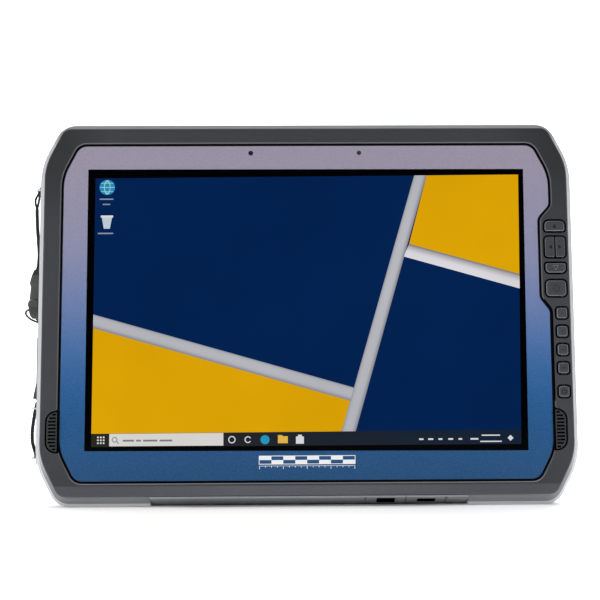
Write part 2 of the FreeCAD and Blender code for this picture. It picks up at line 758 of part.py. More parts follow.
def build_frame():
    frame = new_body("mid_frame")
    pad(frame, RIM_FRONT, RIM_BACK, [RIM_LINE])
    round_octagon(frame, RIM_LINE, Size.rim_side_round, Size.rim_end_round)
    chamfer(frame, level_edges(frame, RIM_FRONT), Size.rim_bevel_side, Size.rim_bevel_deep)
    gap = 0.15
    bezel_seat = octagon(Size.bezel_half + gap, Size.bezel_high + gap, Size.bezel_low + gap,
                         Size.bezel_cut_x, Size.bezel_cut_z, Size.right_extra)
    pocket(frame, RIM_FRONT, BEZEL_BACK, [bezel_seat])
    round_octagon(frame, bezel_seat, Size.bezel_side_round, Size.bezel_end_round)
    pocket(frame, BEZEL_BACK, RIM_BACK, [BAY_LINE])
    round_octagon(frame, BAY_LINE, *BAY_ROUNDS)
    add_frame_posts(frame)
    # seal groove in the rear face
    pocket(frame, RIM_BACK - 0.9, RIM_BACK + BEYOND, groove_lines())
    cut_frame_seats(frame)
    hinge_bore = rod("hinge_bore", "z", HINGE_X, HINGE_Y, DOOR_LOW - 0.2, 0.6, 32.7)
    keep(cut("mid_frame_bored", frame, [hinge_bore]), "mid_frame")


# ---------------------------------------------------------------- rear cover
def add_battery_tub(cover):
    margin, gap, floor = 2.5, 0.4, 1.6
    tub_inside = BACK - Size.batt_deep - gap
    pad(cover, tub_inside - floor, INSIDE + 0.1,
        rects((BATT_X0 - margin, BATT_X1 + margin, BATT_Z0 - margin, BATT_Z1 + margin)))
    room = rect(BATT_X0 - gap, BATT_X1 + gap, BATT_Z0 - gap, BATT_Z1 + gap)
    pocket(cover, tub_inside, BACK + BEYOND, [room])
    fillet(cover, corner_edges(cover, room), 4.0)


def add_mounting_pad(cover):
    """Raised mounting pad and the four insert posts."""
    plate = rect(-47, 47, -23.2, 27)
    pad(cover, BACK - 0.2, 0.0, [plate])
    fillet(cover, corner_edges(cover, plate), 5.0)
    pad(cover, -9.5, INSIDE + 0.1, circles=[(x, z, 5.0) for x, z in MOUNTS])
    pocket(cover, -Size.insert_long - 0.6, BEYOND,
           circles=[(x, z, Size.insert_r) for x, z in MOUNTS])


def add_cover_posts(cover):
    """Screw posts, clearance holes and head seats."""
    gap = 0.3
    pad(cover, RIM_BACK, INSIDE + 0.1, circles=[(x, z, SCREW_POST_RADIUS) for x, z in SCREWS])
    pocket(cover, RIM_BACK - 0.2, BACK + BEYOND,
           circles=[(x, z, Size.screw_shank_r + gap) for x, z in SCREWS])
    pocket(cover, BACK - 1.7, BACK + BEYOND,
           circles=[(x, z, Size.screw_head_r + gap) for x, z in SCREWS])


def build_cover():
    cover = new_body("rear_cover_body")
    pad(cover, RIM_BACK, BACK, [COVER_LINE])
    round_octagon(cover, COVER_LINE, Size.rim_side_round - 0.6, Size.rim_end_round - 0.6)
    chamfer(cover, level_edges(cover, BACK), Size.cover_bevel_side, Size.cover_bevel_deep)
    pocket(cover, RIM_BACK, INSIDE, [BAY_LINE])
    round_octagon(cover, BAY_LINE, *BAY_ROUNDS)
    add_battery_tub(cover)
    add_mounting_pad(cover)
    add_cover_posts(cover)
    # camera ring, then the collars and bores of the camera and the flash
    pad(cover, BACK - 0.2, BACK + 0.9, circles=[(CAMERA_X, CAMERA_Z, 9.0)])
    pad(cover, -5.5, INSIDE + 0.1,
        circles=[(CAMERA_X, CAMERA_Z, 8.0), (FLASH_X, CAMERA_Z, 4.4)])
    pocket(cover, -9.0, 1.0, circles=[(CAMERA_X, CAMERA_Z, 6.2), (FLASH_X, CAMERA_Z, 2.6)])
    # seats of the battery latches, open towards the battery
    seat_near, seat_far = 0.2, 15.2
    pocket(cover, BACK - LATCH_SLOT_DEEP, BACK + BEYOND,
           rects((BATT_X0 - seat_far, BATT_X0 - seat_near, *LATCH_SLOT),
                 (BATT_X1 + seat_near, BATT_X1 + seat_far, *LATCH_SLOT)))
    # antenna cover, port panel and side door hinge
    pocket(cover, RIM_BACK - 0.2, -4.0, [TOP_NOTCH])
    pocket(cover, RIM_BACK - 0.2, -7.9,
           rects((-Size.ports_left, Size.ports_right, -100.5, -94.2)))
    pocket(cover, RIM_BACK - 0.2, -8.6, [HINGE_ROOM])
    keep(cover, "rear_cover")


def build_housing_seal():
    """Rubber seal let into the frame's rear face."""
    seal = new_body("housing_seal")
    pad(seal, RIM_BACK - 0.88, RIM_BACK - 0.02, groove_lines(0.03))
    keep(seal, "housing_seal")


def build_fasteners():
    inserts = []
    for i, (x, z) in enumerate(MOUNTS):
        outer = rod("insert_%d_outer" % i, "y", x, -Size.insert_long, z,
                    Size.insert_r - 0.02, Size.insert_long)
        bore = rod("insert_%d_bore" % i, "y", x, -Size.insert_long - 0.2, z,
                   Size.insert_hole_r, Size.insert_long + 0.4)
        inserts.append(cut("insert_%d" % i, outer, [bore]))
    group("mount_inserts", inserts)
    group("housing_screws", [
        screw("case_screw_%d" % i, x, z, head_y=BACK - 0.15, head_radius=Size.screw_head_r,
              head_deep=1.5, shank_radius=Size.screw_shank_r, tip_y=-16.8)
        for i, (x, z) in enumerate(SCREWS)])


# ---------------------------------------------------------------- lower port panel
# (y, z) ends of the panel's sloping face: the front one, and the rear one that is lower
SLOPE_FRONT = (-24.7, -95.0)
SLOPE_REAR = (-15.6, -99.2)
SLOPE = math.degrees(math.atan2(SLOPE_FRONT[1] - SLOPE_REAR[1], SLOPE_REAR[0] - SLOPE_FRONT[0]))
POWER_X, USB_X = 39.6, 60.2


def sloped_place(along, proud):
    """Frame on the sloping face: local Y runs rearwards down the slope, local Z into the case."""
    turn = FreeCAD.Rotation(Vector(1, 0, 0), -SLOPE)
    base = Vector(0, *SLOPE_FRONT) + turn.multVec(Vector(0, along, -proud))
    return FreeCAD.Placement(base, turn)


def sloped_box(name, x, wide, along, tall, deep, proud):
    """Box square to the sloping face, centred on x.

    along is its distance from the face's front edge, tall its length down the slope,
    deep its depth into the case and proud how far it stands out of the face.
    """
    solid = doc.addObject("Part::Box", name)
    bind(solid, "Length", wide)
    bind(solid, "Width", tall)
    bind(solid, "Height", deep + proud)
    solid.Placement = sloped_place(along, proud)
    bind(solid, "Placement.Base.x", x - wide / 2)
    return solid


def build_port_panel():
    gap = 0.12
    panel = side_profile("port_panel_body", -Size.ports_left + gap, Size.ports_right - gap,
                         [(-24.7, -94.15), (-21.2, -94.15), (-21.2, -94.3), (-8.1, -94.3),
                          (-8.1, -98.0), (-9.5, -99.2), SLOPE_REAR, SLOPE_FRONT])
    cutters = [
        sloped_box("power_mouth", POWER_X, wide=9.0, along=3.6, tall=3.9, deep=5.5, proud=0.6),
        sloped_box("usb_mouth", USB_X, wide=8.5, along=4.0, tall=2.5, deep=5.5, proud=0.6)]
    # shallow lines down the slope, each with a round dimple
    for i, x in enumerate((29.3, 49.7, 70.0)):
        cutters.append(sloped_box("panel_line_%d" % i, x, wide=0.5, along=-0.5, tall=11.2,
                                  deep=0.45, proud=0.6))
        dot = doc.addObject("Part::Cylinder", "panel_dot_%d" % i)
        dot.Placement = sloped_place(along=2.6, proud=0.5)
        bind(dot, "Radius", 0.75)
        bind(dot, "Height", 1.6)
        bind(dot, "Placement.Base.x", x)
        cutters.append(dot)
    cutters.append(box("dock_room", -22.2, 22.2, -13.7, -10.3, -99.6, -95.6))
    keep(cut("port_panel", panel, cutters), "port_panel")


def build_power_inlet():
    shell = sloped_box("power_shell", POWER_X, wide=8.8, along=3.7, tall=3.7, deep=5.2, proud=0)
    hollow = sloped_box("power_hollow", POWER_X, wide=7.8, along=4.2, tall=2.7, deep=3.6,
                        proud=0.4)
    blade_pitch = 1.8
    blades = [sloped_box("power_blade_%d" % i, POWER_X + blade_pitch * (i - 1.5), wide=0.8,
                         along=4.9, tall=1.3, deep=4.4, proud=-1.0) for i in range(4)]
    case = cut("power_case", shell, [hollow])
    keep(fuse("power_inlet", [case] + blades), "power_inlet")


def build_usb_port():
    shell_deep, hollow_deep, hollow_proud = 5.2, 4.4, 0.4
    shell = sloped_box("usb_shell", USB_X, wide=8.3, along=4.05, tall=2.4, deep=shell_deep,
                       proud=0)
    shell = soften("usb_shell_round", shell, 1.1,
                   lambda edge, mid: abs(edge.Length - shell_deep) < 0.01)
    hollow = sloped_box("usb_hollow", USB_X, wide=7.7, along=4.35, tall=1.8, deep=hollow_deep,
                        proud=hollow_proud)
    hollow = soften("usb_hollow_round", hollow, 0.85,
                    lambda edge, mid: abs(edge.Length - hollow_deep - hollow_proud) < 0.01)
    tongue = sloped_box("usb_tongue", USB_X, wide=6.6, along=4.9, tall=0.7, deep=4.8, proud=-0.7)
    keep(fuse("usb_c_port", [cut("usb_case", shell, [hollow]), tongue]), "usb_c_port")


def build_dock():
    block = box("dock_block", -22.0, 22.0, -13.5, -10.5, -99.0, -95.8)
    pin_count, pin_pitch, pin_y = 12, 3.3, -12.0
    pin_x = [pin_pitch * (i - (pin_count - 1) / 2) for i in range(pin_count)]
    holes = [rod("dock_hole_%d" % i, "z", x, pin_y, -99.4, 0.82, 3.0)
             for i, x in enumerate(pin_x)]
    keep(cut("dock_connector", block, holes), "dock_connector")
    group("dock_pins", [rod("dock_pin_%d" % i, "z", x, pin_y, -99.15, 0.8, 2.7)
                        for i, x in enumerate(pin_x)])


# ---------------------------------------------------------------- electronics
def build_main_board():
    board = new_body("main_board")
    front, back = -17.0, -15.5
    pad(board, front, back, rects((-114, 114, -72, 75)))
    pocket(board, front - 0.2, back + 0.2, circles=[(x, z, 1.4) for x, z in BOARD_POSTS])
    # low blocks on the rear face
    pad(board, back - 0.1, -15.1, rects((-100, -80, -50, -20), (-60, -40, 35, 60),
                                        (20, 34, -12, 8), (-95, -85, 20, 40)))
    keep(board, "main_board")


def build_heat_spreader():
    spreader = new_body("heat_spreader")
    pad(spreader, -15.4, -14.2, rects((-30, 12, 30, 66)))
    fin_left, fin_wide, fin_pitch = -28, 2, 6
    fins = []
    for i in range(7):
        x = fin_left + fin_pitch * i
        fins.append(rect(x, x + fin_wide, 32, 64))
    pad(spreader, -14.3, -11.0, fins)
    keep(spreader, "heat_spreader")


def build_ssd():
    """Card with two chips on its rear face and a socket at its lower end."""
    ssd = new_body("ssd_module")
    pad(ssd, -14.9, -14.1, rects((45, 67, -14, 66)))
    pad(ssd, -14.2, -12.9, rects((47, 65, 40, 58), (47, 65, 12, 30)))
    pad(ssd, -15.4, -13.6, rects((44.5, 67.5, -18, -13)))
    keep(ssd, "ssd_module")


def build_antenna():
    """Strip with a block near each end."""
    antenna = new_body("antenna_module")
    pad(antenna, -18.0, -17.0, rects((-72, 10, 79, 90)))
    pad(antenna, -17.1, -14.0, rects((-66, -48, 80.5, 88.5), (-12, 6, 80.5, 88.5)))
    keep(antenna, "antenna_module")


def build_display_cable():
    """Flat cable bent in a U under the lower edge of the main board."""
    keep(side_profile("display_cable", -20, 10,
                      [(-20.45, -64.0), (-20.45, -77.6), (-15.0, -77.6), (-15.0, -66.0),
                       (-15.35, -66.0), (-15.35, -77.2), (-20.3, -77.2), (-20.3, -64.0)]),
         "display_cable")


# ---------------------------------------------------------------- battery and its latches
def build_battery():
    battery = new_body("battery_pack")
    outline = rect(BATT_X0, BATT_X1, BATT_Z0, BATT_Z1)
    pad(battery, BACK - Size.batt_deep, BACK, [outline])
    fillet(battery, corner_edges(battery, outline), 3.6)
    chamfer(battery, level_edges(battery, BACK), 0.8)
    # latch notches at both ends
    notch = 2.6
    pocket(battery, BACK - LATCH_SLOT_DEEP, BACK + BEYOND,
           rects((BATT_X0 - 1, BATT_X0 + notch, *LATCH_SLOT),
                 (BATT_X1 - notch, BATT_X1 + 1, *LATCH_SLOT)))
    # shallow recess in the outer face
    side_margin, end_margin = 14, 10
    recess = rect(BATT_X0 + side_margin, BATT_X1 - side_margin,
                  BATT_Z0 + end_margin, BATT_Z1 - end_margin)
    pocket(battery, BACK - 0.6, BACK + BEYOND, [recess])
    fillet(battery, corner_edges(battery, recess), 5.0)
    keep(battery, "battery_pack")


def build_latches():
    overlap = 2.2
    rib_start, rib_pitch, rib_wide, rib_margin = 4.0, 1.7, 0.9, 1.2
    for side, name, near in ((-1, "battery_latch_left", BATT_X0 + overlap),
                             (1, "battery_latch_right", BATT_X1 - overlap)):
        latch = new_body(name)
        x0, x1 = ordered(side, near, near + Size.latch_long * side)
        pad(latch, BACK - 1.65, BACK, [rect(x0, x1, LATCH_Z0, LATCH_Z1)])
        # thumb ribs on the part of the slider that stays outside the battery
        ribs = []
        for i in range(5):
            rib = near + (rib_start + rib_pitch * i) * side
            x0, x1 = ordered(side, rib, rib + rib_wide * side)
            ribs.append(rect(x0, x1, LATCH_Z0 + rib_margin, LATCH_Z1 - rib_margin))
        pad(latch, BACK - 0.1, BACK + 0.9, ribs)
        keep(latch, name)


# ---------------------------------------------------------------- rear camera and flash
def build_rear_camera():
    half_foot = 6.5
    can = rod("rear_camera_can", "y", CAMERA_X, -9.8, CAMERA_Z, 6.0, 8.2)
    foot = box("rear_camera_foot", CAMERA_X - half_foot, CAMERA_X + half_foot, -11.8, -9.7,
               CAMERA_Z - half_foot, CAMERA_Z + half_foot)
    solid = fuse("rear_camera_solid", [can, foot])
    bore = rod("rear_camera_bore", "y", CAMERA_X, -3.4, CAMERA_Z, 3.0, 2.0)
    keep(cut("rear_camera", solid, [bore]), "rear_camera")
    keep(rod("window_disc", "y", CAMERA_X, -1.55, CAMERA_Z, 6.1, 1.25), "camera_window")
    # name, front y, radius, length
    flash = [("flash_lens", -4.0, 2.5, 3.0), ("flash_foot", -6.4, 3.6, 0.8),
             ("flash_stem", -5.7, 2.3, 2.0)]
    keep(fuse("flash_solid", [rod(name, "y", FLASH_X, y, CAMERA_Z, radius, length)
                              for name, y, radius, length in flash]), "flash_led")


def build_antenna_cover():
    strip = side_profile("antenna_cover_body", COVER_STRIP_LEFT, COVER_STRIP_RIGHT,
                         [(-18.8, 93.8), (-4.2, 93.8), (-4.2, 95.6), (-6.6, 98.4),
                          (-16.6, 98.4), (-18.8, 96.2)])

    def on_end(edge, mid):
        at_end = abs(mid.x - COVER_STRIP_LEFT) < 1e-3 or abs(mid.x - COVER_STRIP_RIGHT) < 1e-3
        return at_end and mid.z > 94

    keep(soften("antenna_cover", strip, 0.5, on_end), "antenna_cover")


# ---------------------------------------------------------------- hinged door, side ports
def build_door():
    outer, inner = -Size.door_out, -Size.door_out + Size.door_thick
    leaf = new_body("door_leaf")
    pad(leaf, -19.8, -13.6, [rect(outer, inner, DOOR_LOW, DOOR_HIGH)])
    web = box("door_web", outer + 0.35, inner, -13.7, HINGE_Y, BARREL_LOW, BARREL_HIGH)
    barrel = rod("door_barrel", "z", HINGE_X, HINGE_Y, BARREL_LOW, 1.25, BARREL_HIGH - BARREL_LOW)
    # lip on the outer face that thins towards its top; its local Y is up, local Z is forward
    lip_out, lip_in = 1.7, 0.1
    lip_wide = lip_out + lip_in
    lip_tall, lip_deep = 9.0, 5.4
    lip = doc.addObject("Part::Wedge", "door_lip")
    for prop, value in (("Xmin", 0), ("Xmax", lip_wide), ("Ymin", 0), ("Ymax", lip_tall),
                        ("Zmin", 0), ("Zmax", lip_deep), ("X2min", lip_out),
                        ("X2max", lip_wide), ("Z2min", 0), ("Z2max", lip_deep)):
        setattr(lip, prop, value)
    lip.Placement = FreeCAD.Placement(Vector(0, 0, 0), FreeCAD.Rotation(Vector(1, 0, 0), 90))
    bind_place(lip, outer - lip_out, -13.9, DOOR_LOW + 0.8)
    bore = rod("door_pin_bore", "z", HINGE_X, HINGE_Y, -45.0, 0.56, 30.3)
    keep(cut("side_port_door", fuse("door_solid", [leaf, web, barrel, lip]), [bore]),
         "side_port_door")
    keep(rod("door_hinge_pin", "z", HINGE_X, HINGE_Y, -45.3, 0.5, 32.0), "door_hinge_pin")

    seal_outer = box("door_seal_outer", inner, inner + 0.8, -19.2, -14.0,
                     DOOR_LOW + 1.0, DOOR_HIGH - 1.0)
    seal_inner = box("door_seal_inner", inner - 0.1, inner + 1.0, -18.4, -14.8,
                     DOOR_LOW + 2.0, DOOR_HIGH - 2.0)
    keep(cut("door_seal_ring", seal_outer, [seal_inner]), "side_door_seal")


def build_side_ports():
    block = box("port_block", -133.9, -125.5, -18.4, -12.6, -38.0, -17.0)
    openings = [box("side_socket", -134.2, -128.5, -16.9, -14.1, -23.9, -18.3),
                box("card_slot", -134.2, -127.5, -16.2, -14.9, -36.6, -25.2)]
    keep(cut("side_port_block", block, openings), "side_port_block")


# ---------------------------------------------------------------- hand strap and its brackets
STRAP_X = -Size.strap_mid


def build_brackets():
    """One bracket above and one below: a base plate, two arms and the bar between them."""
    half_wide, arm_wide = 21.5, 2.2
    screw_reach, screw_x = 11.0, (-13, 13)
    x0, x1 = STRAP_X - half_wide, STRAP_X + half_wide
    brackets, screws = [], []
    for i, side in enumerate((-1, 1)):
        bar_z = Size.strap_bar_z * side
        screw_z = bar_z + screw_reach * side
        base = box("bracket_base_%d" % i, x0, x1, BACK, BACK + 1.8,
                   *ordered(side, bar_z + 4.0 * side, bar_z + 16.0 * side))
        arm_z = ordered(side, bar_z - 1.9 * side, bar_z + 8.0 * side)
        arms = [box("bracket_arm_%d_%d" % (i, j), x, x + arm_wide, BACK, 5.4, *arm_z)
                for j, x in enumerate((x0, x1 - arm_wide))]
        bar = rod("bracket_bar_%d" % i, "x", x0, 3.2, bar_z, 1.6, x1 - x0)
        solid = fuse("bracket_solid_%d" % i, [base, bar] + arms)
        holes = [rod("bracket_hole_%d_%d" % (i, j), "y", STRAP_X + x, BACK - 0.5, screw_z,
                     1.75, 3.0) for j, x in enumerate(screw_x)]
        brackets.append(cut("bracket_%d" % i, solid, holes))
        for j, x in enumerate(screw_x):
            screws.append(screw("bracket_screw_%d_%d" % (i, j), STRAP_X + x, screw_z,
                                head_y=BACK + 3.4, head_radius=3.0, head_deep=1.6,
                                shank_radius=1.45, tip_y=-0.9))
    group("strap_brackets", brackets)
    group("strap_screws", screws)


def build_strap():
    """Shallow arch between the two bars, drawn as a closed (y, z) outline."""
    rise, thick = Size.strap_rise, Size.strap_thick
    end_y = dim(3.6)
    end_z = Size.strap_bar_z - 2.6
    shoulder_z, crown_z = end_z * 0.62, end_z * 0.3
    outer_shoulder, inner_shoulder = end_y + rise * 0.62, rise * 0.62 + 0.2
    outer_crown, inner_crown = rise + thick * 0.55, rise - thick * 0.45
    arch = [(end_y, -end_z), (end_y + thick, -end_z), (outer_shoulder, -shoulder_z),
            (outer_crown, -crown_z), (outer_crown, crown_z), (outer_shoulder, shoulder_z),
            (end_y + thick, end_z), (end_y, end_z), (inner_shoulder, shoulder_z),
            (inner_crown, crown_z), (inner_crown, -crown_z), (inner_shoulder, -shoulder_z)]
    half_wide = Size.strap_wide / 2
    keep(side_profile("hand_strap", STRAP_X - half_wide, STRAP_X + half_wide, arch),
         "hand_strap")


# ---------------------------------------------------------------- stylus and its spring clips
def build_stylus():
    pen = new_body("stylus")
    low, high, radius = -Size.stylus_low, Size.stylus_high, Size.stylus_r
    core = dim(0.01)            # keeps the outline just off the axis
    # (radius, z) from the tip up
    outline = [(core, low - 9.0), (0.8, low - 9.0), (1.3, low - 6.5), (radius, low),
               (radius, high - 3.0), (radius - 1.4, high), (core, high)]
    profile = sketch(pen, "XZ_Plane", 0, [outline])
    turned = pen.newObject("PartDesign::Revolution", "stylus_turn")
    turned.Profile = profile
    turned.ReferenceAxis = (profile, ["V_Axis"])
    turned.Angle = 360
    doc.recompute()
    check(turned)
    pen.Placement = FreeCAD.Placement(Vector(Size.stylus_x.number, Size.stylus_y.number, 0),
                                      FreeCAD.Rotation())
    keep(pen, "stylus")


def build_stylus_clips():
    """Two C-shaped clips, open towards +Y, each on a foot."""
    pen_x, pen_y, radius = Size.stylus_x, Size.stylus_y, Size.stylus_r
    tall = 10.0
    clips = []
    for i, z in enumerate((-18, 46)):
        ring = rod("clip_ring_%d" % i, "z", pen_x, pen_y, z, radius + 1.7, tall)
        foot = box("clip_foot_%d" % i, pen_x - 7.5, pen_x + 7.5, BACK, BACK + 1.6, z, z + tall)
        bore = rod("clip_bore_%d" % i, "z", pen_x, pen_y, z - 1, radius + 0.2, tall + 2)
        mouth = box("clip_mouth_%d" % i, pen_x - 3.0, pen_x + 3.0, pen_y + 2.2, pen_y + 9.0,
                    z - 1, z + tall + 1)
        # trims the ring flush with the rear face of the cover
        under = box("clip_under_%d" % i, pen_x - 12, pen_x + 12, BACK - 6.0, BACK,
                    z - 1, z + tall + 1)
        solid = fuse("clip_solid_%d" % i, [ring, foot])
        clips.append(cut("clip_%d" % i, solid, [bore, mouth, under]))
    group("stylus_holder", clips)


# ---------------------------------------------------------------- tether
TETHER_X, TETHER_Y = -Size.clip_x, -Size.clip_y


def build_anchors():
    """Base plates in the side wall, each with a ring standing out of it."""
    half_tall = 3.0
    anchors = []
    for i, z in enumerate(ANCHORS):
        plate = box("anchor_%d_plate" % i, -138.2, -136.65, -18.0, -12.0,
                    z - half_tall, z + half_tall)
        ring = doc.addObject("Part::Torus", "anchor_%d_ring" % i)
        bind(ring, "Radius1", 1.5)
        bind(ring, "Radius2", 0.55)
        bind_place(ring, -139.4, TETHER_Y, z)
        anchors.append(fuse("anchor_%d" % i, [plate, ring]))
    group("tether_anchors", anchors)


def feature(name, shape):
    solid = doc.addObject("Part::Feature", name)
    solid.Shape = shape
    return solid


def rounded_wire(z, mid_x, mid_y, half_x, half_y, radius):
    """Level rounded rectangle, anticlockwise from its lower right corner."""
    ways = [Vector(0, -1, 0), Vector(1, 0, 0), Vector(0, 1, 0), Vector(-1, 0, 0)]
    arcs = []
    for i in range(4):
        first, last = ways[i], ways[(i + 1) % 4]
        diagonal = first + last
        centre = Vector(mid_x + diagonal.x * (half_x - radius),
                        mid_y + diagonal.y * (half_y - radius), z)
        arcs.append((centre + first * radius, centre + diagonal * (radius * math.sqrt(0.5)),
                     centre + last * radius))
    edges = []
    for i, (start, middle, end) in enumerate(arcs):
        edges.append(Part.Arc(start, middle, end).toShape())
        edges.append(Part.LineSegment(end, arcs[(i + 1) % 4][0]).toShape())
    return Part.Wire(edges)


def clip_loft(stations):
    """Ruled loft along Z; stations are (z, x shift from the clip's axis, half x, half y)."""
    corner = 1.2
    wires = [rounded_wire(z, TETHER_X.number + shift, TETHER_Y.number, half_x, half_y,
                          min(corner, half_x * 0.95, half_y * 0.95))
             for z, shift, half_x, half_y in stations]
    return Part.makeLoft(wires, True, True)     # solid, ruled


def build_clip_socket():
    solid = feature("socket_solid", clip_loft([
        (6.7, 0, 2.8, 2.6), (13.2, 0.3, 2.6, 2.3), (15.3, 0.02, 2.9, 2.6),
        (19.4, 0.5, 2.45, 2.3), (22.5, 0.2, 1.1, 1.3)]))
    bore = rod("socket_bore", "z", TETHER_X, TETHER_Y, 6.0, 1.35, 9.2)
    keep(cut("tether_clip_socket", solid, [bore]), "tether_clip_socket")


def build_clip_plug():
    """Plug with a stem, a side lug and four grooves across its front."""
    solid = feature("plug_solid", clip_loft([
        (-3.2, 0.75, 2.0, 1.9), (-1.4, 0.15, 2.7, 2.6), (3.4, -0.25, 3.12, 2.8),
        (6.3, -0.15, 3.0, 2.7)]))
    stem = rod("plug_stem", "z", TETHER_X, TETHER_Y, 5.8, 1.2, 8.4)
    lug = box("plug_lug", TETHER_X - 3.8, TETHER_X - 2.0, TETHER_Y - 1.2, TETHER_Y + 1.2,
              3.2, 5.4)
    groove_low, groove_tall, groove_pitch = -0.6, 0.45, 1.0
    grooves = []
    for i in range(4):
        z = groove_low + groove_pitch * i
        grooves.append(box("plug_groove_a%d" % i, TETHER_X - 4, TETHER_X + 4,
                           TETHER_Y - 3.2, TETHER_Y - 2.45, z, z + groove_tall))
    keep(cut("tether_clip_plug", fuse("plug_blank", [solid, stem, lug]), grooves),
         "tether_clip_plug")


def build_cord(name, points):
    """Round cord through (x, z) points in the plane of the clip's axis."""
    curve = Part.BSplineCurve()
    curve.interpolate([Vector(x, TETHER_Y.number, z) for x, z in points])
    start = curve.value(curve.FirstParameter)
    direction = curve.tangent(curve.FirstParameter)[0]
    ring = Part.Wire([Part.Circle(start, direction, Size.cord_r.number).toShape()])
    tube = Part.Wire([curve.toShape()]).makePipeShell([ring], True, True)   # solid, Frenet
    keep(feature(name, tube), name)


def build_cords():
    build_cord("tether_cord_upper", [(-140.9, 61.8), (-141.6, 58.6), (-141.1, 53.0),
                                     (-140.4, 44.0), (-139.7, 32.0), (-140.4, 23.4)])
    build_cord("tether_cord_lower", [(-140.2, -51.6), (-140.7, -56.5), (-141.1, -62.0),
                                     (-140.8, -67.5), (-140.0, -72.9)])


# ---------------------------------------------------------------- build, check and export
for build in (build_bezel, build_keys, build_speakers, build_glass, build_gasket, build_panel,
              build_chassis, build_sight_units, build_keypad_layers, build_frame, build_cover,
              build_housing_seal, build_fasteners, build_port_panel, build_power_inlet,
              build_usb_port, build_dock, build_main_board, build_heat_spreader, build_ssd,
              build_antenna, build_display_cable, build_battery, build_latches,
              build_rear_camera, build_antenna_cover, build_door, build_side_ports,
              build_brackets, build_strap, build_stylus, build_stylus_clips, build_anchors,
              build_clip_socket, build_clip_plug, build_cords):
    build()

doc.recompute()
for obj in doc.Objects:
    if "Invalid" in obj.State or "Error" in obj.State:
        raise RuntimeError("%s is %s" % (obj.Name, obj.State))
for name, obj in PARTS.items():
    shape = obj.Shape
    if shape.isNull() or not shape.isValid() or not shape.Solids:
        raise RuntimeError("%s has a bad shape" % name)
os.makedirs("parts", exist_ok=True)
for name, obj in PARTS.items():
    obj.Shape.exportStep("parts/%s.step" % name)
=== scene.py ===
# Rugged tablet computer: screen and keys in front, hand strap and stylus behind, a tether
# cord down one side. It stands upright: +X is right seen from the front, +Z is up and the
# screen faces -Y. Pieces are measured in millimetres unless a comment says metres.
import bpy
import bmesh
import math
import numpy as np
from mathutils import Vector, Matrix


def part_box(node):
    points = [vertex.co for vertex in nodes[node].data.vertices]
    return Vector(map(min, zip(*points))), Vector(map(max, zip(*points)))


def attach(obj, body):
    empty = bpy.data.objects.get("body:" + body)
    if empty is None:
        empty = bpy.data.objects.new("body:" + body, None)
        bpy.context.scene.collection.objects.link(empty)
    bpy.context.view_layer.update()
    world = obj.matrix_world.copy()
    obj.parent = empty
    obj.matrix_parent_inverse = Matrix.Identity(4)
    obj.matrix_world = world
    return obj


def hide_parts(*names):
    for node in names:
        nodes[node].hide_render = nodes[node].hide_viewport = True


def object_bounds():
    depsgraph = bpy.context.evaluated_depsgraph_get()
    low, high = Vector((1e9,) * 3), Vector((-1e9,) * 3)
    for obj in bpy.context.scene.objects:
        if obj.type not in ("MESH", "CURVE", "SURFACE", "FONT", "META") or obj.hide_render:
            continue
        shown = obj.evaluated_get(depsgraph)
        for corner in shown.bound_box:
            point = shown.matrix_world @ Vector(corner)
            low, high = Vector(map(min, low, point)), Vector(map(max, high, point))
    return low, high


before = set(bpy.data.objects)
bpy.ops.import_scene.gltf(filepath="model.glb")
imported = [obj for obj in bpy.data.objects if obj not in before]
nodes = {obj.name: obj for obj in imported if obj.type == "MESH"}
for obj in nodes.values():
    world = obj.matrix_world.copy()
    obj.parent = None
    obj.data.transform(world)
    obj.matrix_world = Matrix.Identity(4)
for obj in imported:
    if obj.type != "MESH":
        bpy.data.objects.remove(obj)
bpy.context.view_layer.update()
MM = 0.001
scene = bpy.context.scene
scene.view_settings.view_transform = "Standard"
scene.view_settings.look = "None"


# ------------------------------------------------------------------ shader helpers
def lin(rgb):
    """8-bit sRGB triple to linear."""
    parts = [v / 255.0 for v in rgb]
    return tuple(v / 12.92 if v <= 0.04045 else ((v + 0.055) / 1.055) ** 2.4 for v in parts)


def shade(colour, factor, lift=0.0):
    """Linear colour scaled and lifted, held at 1."""
    return tuple(min(1.0, v * factor + lift) for v in colour)


def greys(stops):
    """Ramp stops from (position, level) pairs."""
    return [(position, (level,) * 3) for position, level in stops]


